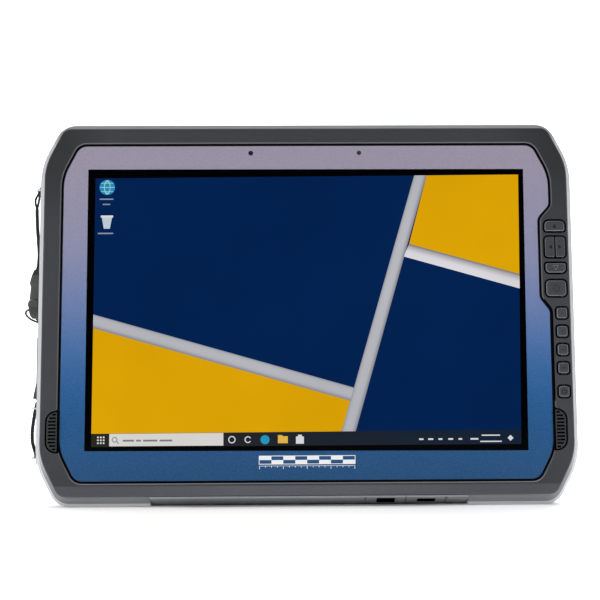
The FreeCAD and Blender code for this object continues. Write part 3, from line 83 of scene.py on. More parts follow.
class Tree:
    """Node tree of one material. Sizes are in mm; positions read from it are in metres."""

    def __init__(self, name):
        self.mat = bpy.data.materials.new(name)
        self.mat.use_nodes = True
        self.nt = self.mat.node_tree
        self.nt.nodes.clear()
        self.out = self.add("ShaderNodeOutputMaterial")
        self.coord = self.add("ShaderNodeTexCoord").outputs["Object"]

    def add(self, kind, **values):
        node = self.nt.nodes.new(kind)
        for key, value in values.items():
            setattr(node, key, value)
        return node

    def put(self, socket, value):
        """Link a socket, or set a number or a colour."""
        if isinstance(value, bpy.types.NodeSocket):
            self.nt.links.new(value, socket)
        elif hasattr(value, "__len__"):
            socket.default_value = (*value, 1.0)[:len(socket.default_value)]
        else:
            socket.default_value = value

    def noise(self, size, detail=3.0, rough=0.55, stretch=None):
        vector = self.coord
        if stretch is not None:
            mapping = self.add("ShaderNodeMapping")
            self.put(mapping.inputs["Vector"], vector)
            mapping.inputs["Scale"].default_value = stretch
            vector = mapping.outputs["Vector"]
        node = self.add("ShaderNodeTexNoise")
        self.put(node.inputs["Vector"], vector)
        node.inputs["Scale"].default_value = 1000.0 / size
        node.inputs["Detail"].default_value = detail
        node.inputs["Roughness"].default_value = rough
        return node.outputs["Fac"]

    def math(self, op, a, b=0.0, clamp=False):
        node = self.add("ShaderNodeMath", operation=op, use_clamp=clamp)
        for i, value in enumerate((a, b, 0.0)):
            self.put(node.inputs[i], value)
        return node.outputs[0]

    def mul(self, a, b):
        return self.math("MULTIPLY", a, b)

    def flip(self, value):
        return self.math("SUBTRACT", 1.0, value)

    def remap(self, value, span, to=(0.0, 1.0)):
        node = self.add("ShaderNodeMapRange")
        for i, v in enumerate((value, *span, *to)):
            self.put(node.inputs[i], v)
        return node.outputs[0]

    def mix(self, fac, a, b, kind="MIX"):
        node = self.add("ShaderNodeMix", data_type="RGBA", blend_type=kind)
        self.put(node.inputs["Factor"], fac)
        self.put(node.inputs["A"], a)
        self.put(node.inputs["B"], b)
        return node.outputs["Result"]

    def scaled(self, colour, factor):
        node = self.add("ShaderNodeVectorMath", operation="SCALE")
        self.put(node.inputs[0], colour)
        self.put(node.inputs["Scale"], factor)
        return node.outputs[0]

    def ramp(self, value, stops):
        node = self.add("ShaderNodeValToRGB")
        self.put(node.inputs["Fac"], value)
        elements = node.color_ramp.elements
        while len(elements) < len(stops):
            elements.new(0.5)
        for element, (position, colour) in zip(elements, stops):
            element.position = position
            element.color = (*colour, 1.0)
        return node.outputs["Color"]

    def xyz(self, vector=None):
        node = self.add("ShaderNodeSeparateXYZ")
        self.put(node.inputs[0], vector or self.coord)
        return node.outputs

    def bump(self, height, strength, distance, normal=None):
        node = self.add("ShaderNodeBump")
        self.put(node.inputs["Height"], height)
        node.inputs["Strength"].default_value = strength
        node.inputs["Distance"].default_value = distance * MM
        if normal is not None:
            self.put(node.inputs["Normal"], normal)
        return node.outputs["Normal"]

    def bevel(self, radius, samples=3):
        node = self.add("ShaderNodeBevel", samples=samples)
        node.inputs["Radius"].default_value = radius * MM
        return node.outputs["Normal"]

    def within(self, value, low=None, high=None, soft=0.0):
        """1 where value lies between low and high, 0 outside; soft widens both steps."""
        out = None
        for edge, sign in ((low, 1), (high, -1)):
            if edge is None:
                continue
            half = soft * MM * sign + 1e-7 * sign
            step = self.remap(value, (edge * MM - half, edge * MM + half))
            out = step if out is None else self.mul(out, step)
        return out

    def zone(self, x_span, z_span, mirror=False):
        """1 inside a rectangle of the front view."""
        x, y, z = self.xyz()
        if mirror:
            x = self.math("ABSOLUTE", x)
        return self.mul(self.within(x, *x_span), self.within(z, *z_span))

    def principled(self, colour, rough, normal=None, metallic=0.0, spec=0.5, coat=0.0,
                   coat_rough=0.1, emission=None, strength=0.0, sheen=0.0, sheen_rough=0.5):
        node = self.add("ShaderNodeBsdfPrincipled")
        values = {"Base Color": colour, "Roughness": rough, "Metallic": metallic,
                  "Specular IOR Level": spec, "Coat Weight": coat, "Coat Roughness": coat_rough}
        if normal is not None:
            values["Normal"] = normal
        if emission is not None:
            values.update({"Emission Color": emission, "Emission Strength": strength})
        if sheen:
            values.update({"Sheen Weight": sheen, "Sheen Roughness": sheen_rough})
        for key, value in values.items():
            self.put(node.inputs[key], value)
        self.nt.links.new(node.outputs[0], self.out.inputs["Surface"])
        return self.mat


# ------------------------------------------------------------------ material families
def moulded(name, rgb, rough=0.55, grain=0.45, depth=0.035, vary=0.10, edge=0.3, spec=0.3,
            edge_highlight=0.25, paint=None, speck=0.22):
    """Moulded plastic: spark-eroded grain, flow mottling, softened edges with a painted highlight.
    paint(tree, colour) shades it by place; it returns the colour and a mask of dull places."""
    tree = Tree(name)
    base = lin(rgb)
    cloud = tree.noise(24.0, detail=4.0)
    col = tree.mix(cloud, shade(base, 1 - vary), shade(base, 1 + vary))
    fine = tree.noise(grain, detail=2.0, rough=0.6)
    col = tree.mix(tree.remap(fine, (0.34, 0.66), to=(0.0, speck)), col, shade(base, 1.75))
    # painted highlight on the edges, in patches: where the bevelled normal leaves the face normal
    soft = tree.bevel(edge)
    geometry = tree.add("ShaderNodeNewGeometry")
    dot = tree.add("ShaderNodeVectorMath", operation="DOT_PRODUCT")
    tree.put(dot.inputs[0], soft)
    tree.put(dot.inputs[1], geometry.outputs["Normal"])
    highlight_rim = tree.remap(dot.outputs["Value"], (0.985, 0.86), to=(0.0, edge_highlight))
    patchy = tree.remap(tree.noise(2.6), (0.35, 0.65), to=(0.35, 1.0))
    col = tree.mix(tree.mul(highlight_rim, patchy), col, shade(base, 2.6, lift=0.02))
    if paint is not None:
        col, mute = paint(tree, col)
        spec = tree.mul(tree.flip(mute), spec)
    gloss = tree.remap(tree.noise(9.0, detail=4.0), (0.25, 0.75), to=(rough - 0.07, rough + 0.08))
    normal = tree.bump(fine, strength=0.55, distance=depth, normal=soft)
    coarse = tree.noise(grain * 4.5, detail=2.0)
    normal = tree.bump(coarse, strength=0.25, distance=depth * 1.6, normal=normal)
    return tree.principled(col, gloss, normal, spec=spec)


# painted shade: blacks for recesses, socket mouths and the painted shadow round them
RECESS_SHADE_BLACK = (0.0012, 0.0012, 0.0014)
MOUTH_SHADOW_BLACK = (0.0008, 0.0008, 0.0008)
SOCKET_SHADE_BLACK = (0.0006, 0.0006, 0.0006)


def bezel_shade(tree, col):
    """Painted shade: black in the recesses round the keys, the grilles and the glass, and darker
    towards the top; painted highlight on the edges of the opening; lower strip painted lighter."""
    x, y, z = tree.xyz()
    keypad = tree.zone((122.0, 134.3), (-47.2, 47.2))
    grille = tree.zone((125.2, 132.4), (-72.6, -50.4), mirror=True)
    opening = tree.mul(tree.zone((-126.9, 127.6), (-88.6, 87.9)), tree.flip(keypad))
    # painted light: strip below the opening lighter, palest in the middle
    low = tree.within(z, high=-88.7, soft=0.3)
    wide = tree.math("ABSOLUTE", x)
    lower_strip_light = tree.remap(wide, (0.03, 0.11), to=(2.75, 1.85))
    col = tree.mix(low, col, tree.scaled(col, lower_strip_light))
    # painted shade: darker towards the top, and more so in the upper corners
    tone = tree.remap(z, (-0.085, 0.085), to=(1.02, 0.86))
    corner = tree.mul(tree.within(wide, low=112.0, soft=12.0),
                      tree.within(z, low=56.0, soft=16.0))
    tone = tree.mul(tone, tree.flip(tree.mul(corner, 0.45)))
    col = tree.scaled(col, tone)
    # painted highlight on the chamfers just behind the bezel face
    step = tree.within(y, low=-25.95, high=-25.2, soft=0.05)
    col = tree.mix(tree.mul(step, 0.20), col, lin((116, 117, 121)))
    # painted highlight on the lip of the opening, strongest along the bottom
    lip = tree.mul(opening, tree.within(y, low=-25.94, high=-25.42, soft=0.03))
    bottom = (-0.089, -0.080)
    strength = tree.remap(z, bottom, to=(0.95, 0.58))
    lip_highlight = tree.mix(tree.remap(z, bottom), lin((136, 137, 142)), lin((104, 105, 110)))
    col = tree.mix(tree.mul(lip, strength), col, lip_highlight)
    # painted shade: black on the wall of the opening, the key seats and the grille slots
    wall = tree.mul(opening, tree.within(y, low=-25.42, soft=0.03))
    seat = tree.mul(keypad, tree.within(y, low=-25.8, soft=0.05))
    slot = tree.mul(grille, tree.within(y, low=-25.88, soft=0.05))
    dark = tree.math("MAXIMUM", wall, tree.math("MAXIMUM", seat, slot))
    return tree.mix(dark, col, RECESS_SHADE_BLACK), dark


def key_shade(tree, col):
    """Painted highlight on the rim round the key top, painted shade in black on the flanks."""
    y = tree.xyz()[1]
    highlight_rim = tree.within(y, low=-26.425, soft=0.015)
    patchy = tree.remap(tree.noise(1.6), (0.3, 0.7), to=(0.55, 0.95))
    col = tree.mix(tree.mul(highlight_rim, patchy), col, lin((122, 123, 128)))
    flank_shade = tree.within(y, low=-26.0, soft=0.06)
    return tree.mix(flank_shade, col, RECESS_SHADE_BLACK), flank_shade


def grille_shade(tree, col):
    """Painted highlight just below the face, painted shade in black deeper down."""
    y = tree.xyz()[1]
    slot_edge_highlight = tree.within(y, low=-25.88, soft=0.02)
    col = tree.mix(tree.mul(slot_edge_highlight, 0.35), col, lin((100, 101, 105)))
    slot_shade = tree.within(y, low=-25.68, soft=0.04)
    return tree.mix(slot_shade, col, RECESS_SHADE_BLACK), slot_shade


def port_shade(tree, col):
    """Painted shade on the sloping underside: lighter at the top, darker towards its lower edge,
    in random patches.
    """
    x, y, z = tree.xyz()
    down = tree.remap(z, (-94.9 * MM, -99.15 * MM))
    patchy = tree.remap(tree.noise(7.0), (0.3, 0.7), to=(-0.08, 0.08))
    slope_shade = tree.math("ADD", down, patchy, clamp=True)
    levels = tree.ramp(slope_shade, greys([(0.0, 2.3), (0.35, 2.1), (0.75, 1.35), (1.0, 0.28)]))
    col = tree.mix(1.0, col, levels, kind="MULTIPLY")
    # painted shadow: black round the two socket mouths
    mouth_shadows = tree.math(
        "MAXIMUM",
        tree.mul(tree.within(x, 35.05, 44.25), tree.within(z, -98.0, -95.5)),
        tree.mul(tree.within(x, 55.6, 64.75), tree.within(z, -97.75, -95.9)))
    mute = tree.math("MAXIMUM", tree.remap(slope_shade, (0.7, 1.0), to=(0.0, 0.9)), mouth_shadows)
    return tree.mix(mouth_shadows, col, MOUTH_SHADOW_BLACK), mute


def socket_shade(tree, col):
    """Painted shade, black inside the mouth: depth is measured square to the sloping face."""
    x, y, z = tree.xyz()
    slope_y, slope_z = -0.4194, -0.9078
    depth = tree.math("ADD", tree.mul(y, slope_y), tree.mul(z, slope_z))
    mouth_shade = tree.within(depth, high=96.9, soft=0.08)
    return tree.mix(mouth_shade, col, SOCKET_SHADE_BLACK), mouth_shade


def frame_shade(tree, col, flake):
    """Painted shade on the land beside the bezel, a dark line by the side door, and painted shade
    on faces that look up and along the top.
    """
    x, y, z = tree.xyz()
    # painted shade: the land beside the bezel, low down, in a darker grey
    land_shade_grey = lin((131, 132, 135))
    lower = tree.mul(tree.within(y, high=-21.42, soft=0.05),
                     tree.within(z, high=-76.0, soft=9.0))
    col = tree.mix(lower, col, tree.mix(flake, shade(land_shade_grey, 0.93), shade(land_shade_grey, 1.07)))
    # dark line along the outer edge beside the side door
    span = tree.mul(tree.within(z, low=-46.5, high=-4.0, soft=1.0),
                    tree.within(y, high=-14.0, soft=0.3))
    line = tree.mul(tree.within(x, high=-137.7, soft=0.08), span)
    col = tree.mix(tree.mul(line, 0.85), col, lin((58, 58, 61)))
    # painted shade on whatever faces up, and along the top
    facing = tree.xyz(tree.add("ShaderNodeNewGeometry").outputs["Normal"])[2]
    upward_shade = tree.remap(facing, (0.25, 0.75), to=(0.0, 0.6))
    col = tree.mix(upward_shade, col, lin((92, 93, 96)))
    high = tree.within(z, low=89.5, soft=2.5)
    return tree.mix(tree.mul(high, 0.5), col, lin((112, 113, 117)))


def painted(name, rgb, rough, edge, paint=None):
    """Satin metallic paint over a cast part: orange peel, metal flake, polished edges."""
    tree = Tree(name)
    base = lin(rgb)
    flake = tree.noise(0.22, detail=1.0, rough=0.8)
    glint = tree.remap(flake, (0.35, 0.65), to=(0.0, 0.35))
    col = tree.mix(glint, shade(base, 0.90), shade(base, 1.14))
    cloud = tree.remap(tree.noise(30.0), (0.3, 0.7), to=(0.0, 0.25))
    col = tree.mix(cloud, col, shade(base, 0.88))
    if paint is not None:
        col = paint(tree, col, flake)
    soft = tree.bevel(edge)
    gloss = tree.remap(tree.noise(5.0, detail=4.0), (0.25, 0.75), to=(rough - 0.06, rough + 0.07))
    peel = tree.noise(0.9, detail=2.0)
    normal = tree.bump(peel, strength=0.35, distance=0.02, normal=soft)
    normal = tree.bump(flake, strength=0.25, distance=0.01, normal=normal)
    return tree.principled(col, gloss, normal, metallic=0.2, coat=0.15, coat_rough=0.25)


def rubbery(name, rgb, rough=0.75, spec=0.2):
    """Dull rubber with a fine grain."""
    tree = Tree(name)
    base = lin(rgb)
    grain = tree.noise(0.3, detail=2.0)
    cloud = tree.noise(6.0, detail=4.0)
    col = tree.mix(cloud, shade(base, 0.75), shade(base, 1.3, lift=0.002))
    soft = tree.bevel(0.2, samples=2)
    normal = tree.bump(grain, strength=0.5, distance=0.03, normal=soft)
    gloss = tree.remap(grain, (0.3, 0.7), to=(rough - 0.08, rough + 0.08))
    return tree.principled(col, gloss, normal, spec=spec)


def metal(name, rgb, rough, stretch=(1.0, 1.0, 1.0), size=0.5):
    """Bare metal; stretch turns its grain into brushing."""
    tree = Tree(name)
    base = lin(rgb)
    grain = tree.noise(size, rough=0.6, stretch=stretch)
    col = tree.mix(tree.remap(grain, (0.3, 0.7)), shade(base, 0.82), shade(base, 1.1))
    soft = tree.bevel(0.15, samples=2)
    normal = tree.bump(grain, strength=0.35, distance=0.01, normal=soft)
    gloss = tree.remap(tree.noise(3.0), (0.3, 0.7), to=(rough - 0.08, rough + 0.1))
    return tree.principled(col, gloss, normal, metallic=1.0)


def board_mat(name, rgb):
    """Solder mask with traces."""
    tree = Tree(name)
    base = lin(rgb)
    brick = tree.add("ShaderNodeTexBrick")
    mapping = tree.add("ShaderNodeMapping")
    tree.put(mapping.inputs["Vector"], tree.coord)
    mapping.inputs["Rotation"].default_value = (math.radians(90), 0, 0)
    values = {"Vector": mapping.outputs["Vector"], "Scale": 420, "Mortar Size": 0.03,
              "Color1": base, "Color2": shade(base, 0.8), "Mortar": shade(base, 2.2)}
    for key, value in values.items():
        tree.put(brick.inputs[key], value)
    normal = tree.bump(brick.outputs["Fac"], strength=0.3, distance=0.02)
    return tree.principled(brick.outputs["Color"], 0.4, normal)


# printed border of the cover glass: height z, 8-bit colour
GLASS_STOPS = [
    (-88, (36, 81, 126)), (-62, (37, 85, 134)), (-46, (42, 91, 143)), (-33, (53, 98, 151)),
    (-20, (71, 107, 159)), (-8, (90, 116, 164)), (5, (107, 124, 166)), (17, (121, 131, 167)),
    (30, (133, 136, 166)), (46, (141, 139, 164)), (66, (146, 141, 160)), (86, (148, 142, 158))]


def glass_print():
    """Cover glass: back-printed border from mauve grey at the top to deep blue at the bottom,
    with a fine metallic speckle, under clear glass."""
    tree = Tree("glass_print")
    height = tree.remap(tree.xyz()[2], (-0.088, 0.088))
    scale, drop, least = 0.98, 0.0125, 0.001  # fits the print under the glass reflection
    stops = [((z + 88) / 176.0, tuple(max(least, v * scale - drop) for v in lin(rgb)))
             for z, rgb in GLASS_STOPS]
    col = tree.ramp(height, stops)
    grain = tree.noise(0.55, detail=2.0, rough=0.7)
    dark, light = tree.mix(0.13, col, (0, 0, 0)), tree.mix(0.022, col, (1, 1, 1))
    col = tree.mix(tree.remap(grain, (0.32, 0.68)), dark, light)
    # the ground edge of the sheet catches a little light
    edge = tree.within(tree.xyz()[1], low=-25.17, soft=0.01)
    col = tree.mix(tree.mul(edge, 0.35), col, lin((96, 110, 140)))
    gloss = tree.remap(tree.noise(40.0), (0.3, 0.7), to=(0.20, 0.28))
    wave, soft = tree.noise(60.0, detail=1.0), tree.bevel(0.25, samples=2)
    normal = tree.bump(wave, strength=0.05, distance=0.02, normal=soft)
    return tree.principled(col, gloss, normal, spec=0.06, coat=0.10, coat_rough=0.05)


STRIP_STOPS = ((0.0, 0.0), (0.30, 0.92), (0.60, 1.0), (0.86, 0.85), (1.0, 0.25))


def screen_ink(name, rgb, glow=0.93, rgb_right=None, edge_rgb=None, stops=STRIP_STOPS):
    """A lit area of the display: emissive ink with a faint lattice and uneven backlight.
    rgb_right is reached at the right-hand side; edge_rgb shows where the stops are low."""
    tree = Tree(name)
    base = lin(rgb)
    cloud = tree.remap(tree.noise(55.0, detail=2.0), (0.3, 0.7))
    col = tree.mix(cloud, shade(base, 0.95), shade(base, 1.05))
    if rgb_right is not None:
        across = tree.remap(tree.xyz()[0], (-0.108, 0.108))
        col = tree.mix(across, col, lin(rgb_right))
    if edge_rgb is not None:
        uv = tree.add("ShaderNodeUVMap")
        level = tree.ramp(tree.xyz(uv.outputs["UV"])[1], greys(stops))
        col = tree.mix(level, lin(edge_rgb), col)
    wave = tree.add("ShaderNodeTexWave", wave_type="BANDS", bands_direction="X")
    tree.put(wave.inputs["Vector"], tree.coord)
    wave.inputs["Scale"].default_value = 1000 / 0.36
    col = tree.mix(tree.mul(wave.outputs["Fac"], 0.05), col, (0, 0, 0))
    return tree.principled((0.0, 0.0, 0.0), 0.3, spec=0.0, coat=0.05, coat_rough=0.05,
                           emission=col, strength=glow)


def ink(name, rgb, rough=0.35, vary=0.12, spec=0.25):
    """Plain printed or dyed surface."""
    tree = Tree(name)
    base = lin(rgb)
    grain = tree.noise(0.6)
    col = tree.mix(grain, shade(base, 1 - vary), shade(base, 1 + vary))
    cloud = tree.noise(4.0, detail=2.0)
    gloss = tree.remap(cloud, (0.3, 0.7), to=(rough - 0.05, rough + 0.05))
    normal = tree.bump(grain, strength=0.2, distance=0.01)
    return tree.principled(col, gloss, normal, spec=spec)


def woven(name, rgb, pitch, rough, depth, uv=True):
    """Warp and weft over each other, on the UV map in millimetres or the object's own axes."""
    tree = Tree(name)
    base = lin(rgb)
    source = tree.add("ShaderNodeUVMap").outputs["UV"] if uv else tree.coord
    place = tree.xyz(source)
    turn = math.pi / pitch
    u = tree.mul(place[0], turn)
    v = tree.mul(place[1], turn)
    over = tree.mul(tree.math("SINE", u), tree.math("SINE", v))
    warp = tree.math("ABSOLUTE", tree.math("SINE", tree.mul(u, 1.0)))
    weft = tree.math("ABSOLUTE", tree.math("SINE", tree.mul(v, 1.0)))
    pick = tree.math("GREATER_THAN", over, 0.0)
    height = tree.math("ADD", tree.mul(pick, warp), tree.mul(tree.flip(pick), weft))
    fuzz = tree.noise(0.12, rough=0.7)
    height = tree.math("ADD", height, tree.mul(fuzz, 0.35))
    # painted shade and highlight: the low parts of the weave darker, the raised threads lighter
    col = tree.mix(tree.remap(height, (0.1, 1.2)), shade(base, 0.35), shade(base, 1.5))
    fade = tree.remap(tree.noise(11.0, detail=4.0), (0.35, 0.7), to=(0.0, 0.35))
    col = tree.mix(fade, col, shade(base, 1.9, lift=0.004))
    normal = tree.bump(height, strength=0.8, distance=depth)
    return tree.principled(col, rough, normal, spec=0.25, sheen=0.35, sheen_rough=0.4)


def lens_mat():
    """Near-black coated glass."""
    tree = Tree("lens_glass")
    cloud = tree.remap(tree.noise(3.0, detail=2.0), (0.3, 0.7))
    col = tree.mix(cloud, (0.006, 0.006, 0.010), (0.012, 0.012, 0.022))
    gloss = tree.remap(tree.noise(2.0, detail=2.0), (0.3, 0.7), to=(0.04, 0.08))
    return tree.principled(col, gloss, tree.bevel(0.2, samples=2), spec=0.6, coat=1.0,
                           coat_rough=0.03)


looks = {
    "bezel": moulded("bezel_plastic", (50, 51, 55), rough=0.56, depth=0.04, spec=0.25,
                     edge_highlight=0.2, paint=bezel_shade, speck=0.34),
    "cover": moulded("cover_plastic", (56, 57, 60), rough=0.6, grain=0.55, depth=0.05),
    "port": moulded("port_plastic", (60, 60, 63)),
    "slope": moulded("port_slope_plastic", (99, 100, 103), grain=0.5, depth=0.04, spec=0.2,
                     edge_highlight=0.3, paint=port_shade),
    "socket": moulded("socket_shell", (74, 74, 77), rough=0.4, grain=0.3, depth=0.01,
                      edge=0.15, edge_highlight=0.3, paint=socket_shade),
    "battery": moulded("battery_plastic", (44, 44, 47), rough=0.62, grain=0.6, depth=0.06),
    "latch": moulded("latch_plastic", (70, 70, 73), rough=0.45, grain=0.3, depth=0.02),
    "key": moulded("key_plastic", (46, 47, 51), rough=0.5, grain=0.42, depth=0.06, vary=0.18,
                   edge_highlight=0.2, paint=key_shade, speck=0.55),
    "grille": moulded("grille_plastic", (40, 41, 44), edge=0.2, spec=0.25, edge_highlight=0.2,
                      paint=grille_shade),
    "black": moulded("black_plastic", (26, 26, 28), rough=0.5, grain=0.35, depth=0.02),
    "clip": moulded("clip_plastic", (27, 27, 28), rough=0.34, grain=0.35, depth=0.04,
                    vary=0.12, spec=0.65, edge_highlight=0.7),
    "stylus": moulded("stylus_plastic", (38, 38, 41), rough=0.42, grain=0.3, depth=0.015),
    "frame": painted("frame_paint", (208, 209, 212), rough=0.4, edge=0.35, paint=frame_shade),
    "gasket": rubbery("gasket_rubber", (3, 3, 4), rough=0.8, spec=0.04),
    "rubber": rubbery("grey_rubber", (34, 34, 36)),
    "glass": glass_print(),
    "panel": ink("panel_black", (10, 10, 12), rough=0.3, spec=0.1),
    "steel": metal("connector_steel", (186, 186, 190), rough=0.28, stretch=(1.0, 8.0, 1.0)),
    "dark_steel": metal("black_steel", (74, 74, 78), rough=0.38),
    "bright": metal("bright_metal", (200, 200, 205), rough=0.35, stretch=(0.2, 1.0, 1.0),
                    size=0.8),
    "brass": metal("insert_brass", (205, 168, 96), rough=0.3, stretch=(1.0, 6.0, 1.0)),
    "gold": metal("contact_gold", (224, 178, 92), rough=0.22),
    "board": board_mat("circuit_board", (16, 84, 52)),
    "flex": ink("flex_film", (160, 108, 40), rough=0.3),
    "lens": lens_mat(),
    "flash": ink("flash_phosphor", (226, 214, 150), rough=0.25),
    "bracket": painted("bracket_coat", (44, 44, 46), rough=0.42, edge=0.3),
    "cord": woven("cord_braid", (30, 29, 29), pitch=0.5, rough=0.8, depth=0.1),
    "webbing": woven("strap_webbing", (38, 38, 41), pitch=1.1, rough=0.82, depth=0.22),
    "pad": woven("strap_pad_cloth", (30, 30, 33), pitch=0.7, rough=0.9, depth=0.16, uv=False),
    "thread": ink("stitch_thread", (96, 96, 100), rough=0.7),
}

# look: CAD pieces that wear it. Keys wear "key" and every other piece wears "black".
PIECES = {
    "bezel": "front_bezel", "cover": "rear_cover", "slope": "port_panel",
    "port": "antenna_cover side_port_door", "socket": "power_inlet usb_c_port",
    "battery": "battery_pack", "latch": "battery_latch_left battery_latch_right",
    "grille": "speaker_grille_left speaker_grille_right", "stylus": "stylus",
    "clip": "tether_clip_socket tether_clip_plug", "frame": "mid_frame tether_anchors",
    "gasket": "display_gasket housing_seal side_door_seal", "rubber": "keypad_mat",
    "glass": "cover_glass", "panel": "display_panel",
    "dark_steel": "housing_screws strap_screws",
    "bright": "chassis_plate dome_switches heat_spreader door_hinge_pin",
    "brass": "mount_inserts", "gold": "dock_pins",
    "board": "keypad_board main_board ssd_module antenna_module", "flex": "display_cable",
    "lens": "camera_window", "flash": "flash_led", "bracket": "strap_brackets",
}
look_of = {piece: look for look, pieces in PIECES.items() for piece in pieces.split()}
for name in nodes:
    look = look_of.get(name, "key" if name.startswith("key_") else "black")
    piece = nodes[name]
    if not piece.material_slots:
        piece.data.materials.append(looks[look])
    for material_slot in piece.material_slots:
        material_slot.material = looks[look]


# ------------------------------------------------------------------ mesh helpers
# A solid is (vertices in metres, faces). An outline is a list of (x, z). A depth is the pair
# of y planes, front then back, that a flat solid lies between.
def new_object(name, solid, mat, body="case", uvs=None, smooth=False):
    verts, faces = solid
    mesh = bpy.data.meshes.new(name)
    mesh.from_pydata([tuple(v) for v in verts], [], [tuple(f) for f in faces])
    mesh.validate()
    if uvs is not None:
        uv_layer = mesh.uv_layers.new(name="UVMap")
        for loop in mesh.loops:
            uv_layer.data[loop.index].uv = uvs[loop.vertex_index]
    work = bmesh.new()
    work.from_mesh(mesh)
    bmesh.ops.recalc_face_normals(work, faces=work.faces)
    work.to_mesh(mesh)
    work.free()
    mesh.materials.append(mat)
    if smooth:
        for polygon in mesh.polygons:
            polygon.use_smooth = True
    made = bpy.data.objects.new(name, mesh)
    scene.collection.objects.link(made)
    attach(made, body)
    return made


def gather(solids):
    """Join solids into one."""
    verts, faces = [], []
    for part_verts, part_faces in solids:
        first = len(verts)
        verts += list(part_verts)
        faces += [tuple(i + first for i in face) for face in part_faces]
    return verts, faces


def slab(outline, depth):
    """Closed prism."""
    n = len(outline)
    verts = [(x * MM, y * MM, z * MM) for y in depth for x, z in outline]
    faces = [tuple(range(n)), tuple(range(2 * n - 1, n - 1, -1))]
    faces += [(i, (i + 1) % n, (i + 1) % n + n, i + n) for i in range(n)]
    return verts, faces


def rounded(x0, x1, z0, z1, radii, steps=6):
    """Rounded rectangle; radii at lower left, lower right, upper right, upper left."""
    a, b, c, d = radii
    points = []
    for cx, cz, r, start in ((x1 - b, z0 + b, b, -90), (x1 - c, z1 - c, c, 0),
                             (x0 + d, z1 - d, d, 90), (x0 + a, z0 + a, a, 180)):
        for i in range(steps + 1):
            angle = math.radians(start + 90 * i / steps)
            points.append((cx + r * math.cos(angle), cz + r * math.sin(angle)))
    return points


def rect(x0, x1, z0, z1):
    return [(x0, z0), (x1, z0), (x1, z1), (x0, z1)]


def disc(cx, cz, radius, count=28):
    angles = [2 * math.pi * i / count for i in range(count)]
    return [(cx + radius * math.cos(a), cz + radius * math.sin(a)) for a in angles]


def ring(cx, cz, inner, outer, depth, start=0.0, end=360.0, steps=40):
    """Flat ring or open arc as a closed solid; angles in degrees."""
    full = abs(end - start - 360) < 1e-6
    n = steps if full else steps + 1
    y0, y1 = depth
    verts, faces = [], []
    for i in range(n):
        angle = math.radians(start + (end - start) * i / steps)
        c, s = math.cos(angle), math.sin(angle)
        verts += [((cx + r * c) * MM, y * MM, (cz + r * s) * MM)
                  for r, y in ((outer, y0), (inner, y0), (inner, y1), (outer, y1))]
    for i in range(n if full else n - 1):
        a, b = 4 * i, 4 * ((i + 1) % n)
        faces += [(a + j, a + (j + 1) % 4, b + (j + 1) % 4, b + j) for j in range(4)]
    if not full:
        last = 4 * (n - 1)
        faces += [(0, 1, 2, 3), (last + 3, last + 2, last + 1, last)]
    return verts, faces


def add_solids(name, solids, mat, body="case"):
    return new_object(name, gather(solids), mat, body)


def flat_piece(name, outlines, mat, depth):
    return add_solids(name, [slab(outline, depth) for outline in outlines], mat)


# ------------------------------------------------------------------ screen picture
# Thin printed layers stacked on the glass.
GLASS_Y = -25.2  # front of the glass
LAYER_STEP = 0.02


def layer(k):
    """Depth of layer k; a higher k lies further forward."""
    return GLASS_Y - 0.012 - LAYER_STEP * (k + 1), GLASS_Y - 0.006 - LAYER_STEP * k


# corners of the picture
top_left, top_right = (-108.5, 68.55), (110.35, 69.95)
low_right, low_left = (108.35, -68.85), (-108.7, -69.15)
flat_piece("display_border", [[(-112.1, -71.2), (111.9, -72.05), (113.0, 72.9), (-112.3, 73.25)]],
           ink("border_ink", (1, 1, 2), rough=0.12, vary=0.2, spec=0.02), layer(0))
flat_piece("picture_navy", [[low_left, low_right, top_right, top_left]],
           screen_ink("ink_navy", (2, 35, 83)), layer(1))
gold_right = [(53.17, 33.75), (109.65, 17.8), top_right, (62.8, 69.6)]
gold_left = [(-108.65, -62.6), (17.3, -62.2), (22.3, -46.75), (-108.6, -8.95)]
flat_piece("picture_gold", [gold_right, gold_left],
           screen_ink("ink_gold", (217, 161, 3), glow=1.03), layer(2))


def strip(name, quad, mat, depth):
    """Four-cornered strip whose UV map spans it once."""
    uvs = [(0, 0), (1, 0), (1, 1), (0, 1)] * 2
    return new_object(name, slab(quad, depth), mat, uvs=uvs)


pale = screen_ink("ink_pale", (205, 206, 213), glow=0.78, edge_rgb=(148, 149, 158))
strip("picture_strip_low", [(-108.6, -9.1), (22.2, -46.75), (25.5, -40.4), (-108.6, -2.05)],
      pale, layer(3))
strip("picture_strip_right", [(50.2, 27.2), (109.6, 10.35), (109.7, 17.85), (53.17, 33.75)],
      screen_ink("ink_pale_right", (228, 226, 231), glow=0.9, edge_rgb=(120, 119, 124),
                 stops=((0.0, 1.0), (0.45, 0.95), (0.8, 0.45), (1.0, 0.0))), layer(3))
strip("picture_strip_tall", [(24.6, -62.1), (62.8, 69.65), (56.3, 69.6), (17.4, -62.2)],
      pale, layer(4))

# task bar with plain symbols
DROP = -1.25  # the symbols are drawn this much too high and lowered onto the bar


def lowered(outline):
    return [(x, z + DROP) for x, z in outline]


flat_piece("task_bar", [[low_left, low_right, (108.4, -61.65), (-108.65, -62.5)]],
           screen_ink("ink_bar", (40, 40, 32), rgb_right=(18, 34, 56)), layer(5))
flat_piece("search_field", [[(-99.6, -68.8), (-42.2, -68.75), (-42.2, -62.4), (-99.6, -62.6)]],
           screen_ink("ink_field", (222, 220, 216)), layer(6))
white = screen_ink("ink_white", (225, 226, 228))
grey = screen_ink("ink_grey", (126, 126, 128))

DOT_PITCH = 1.45
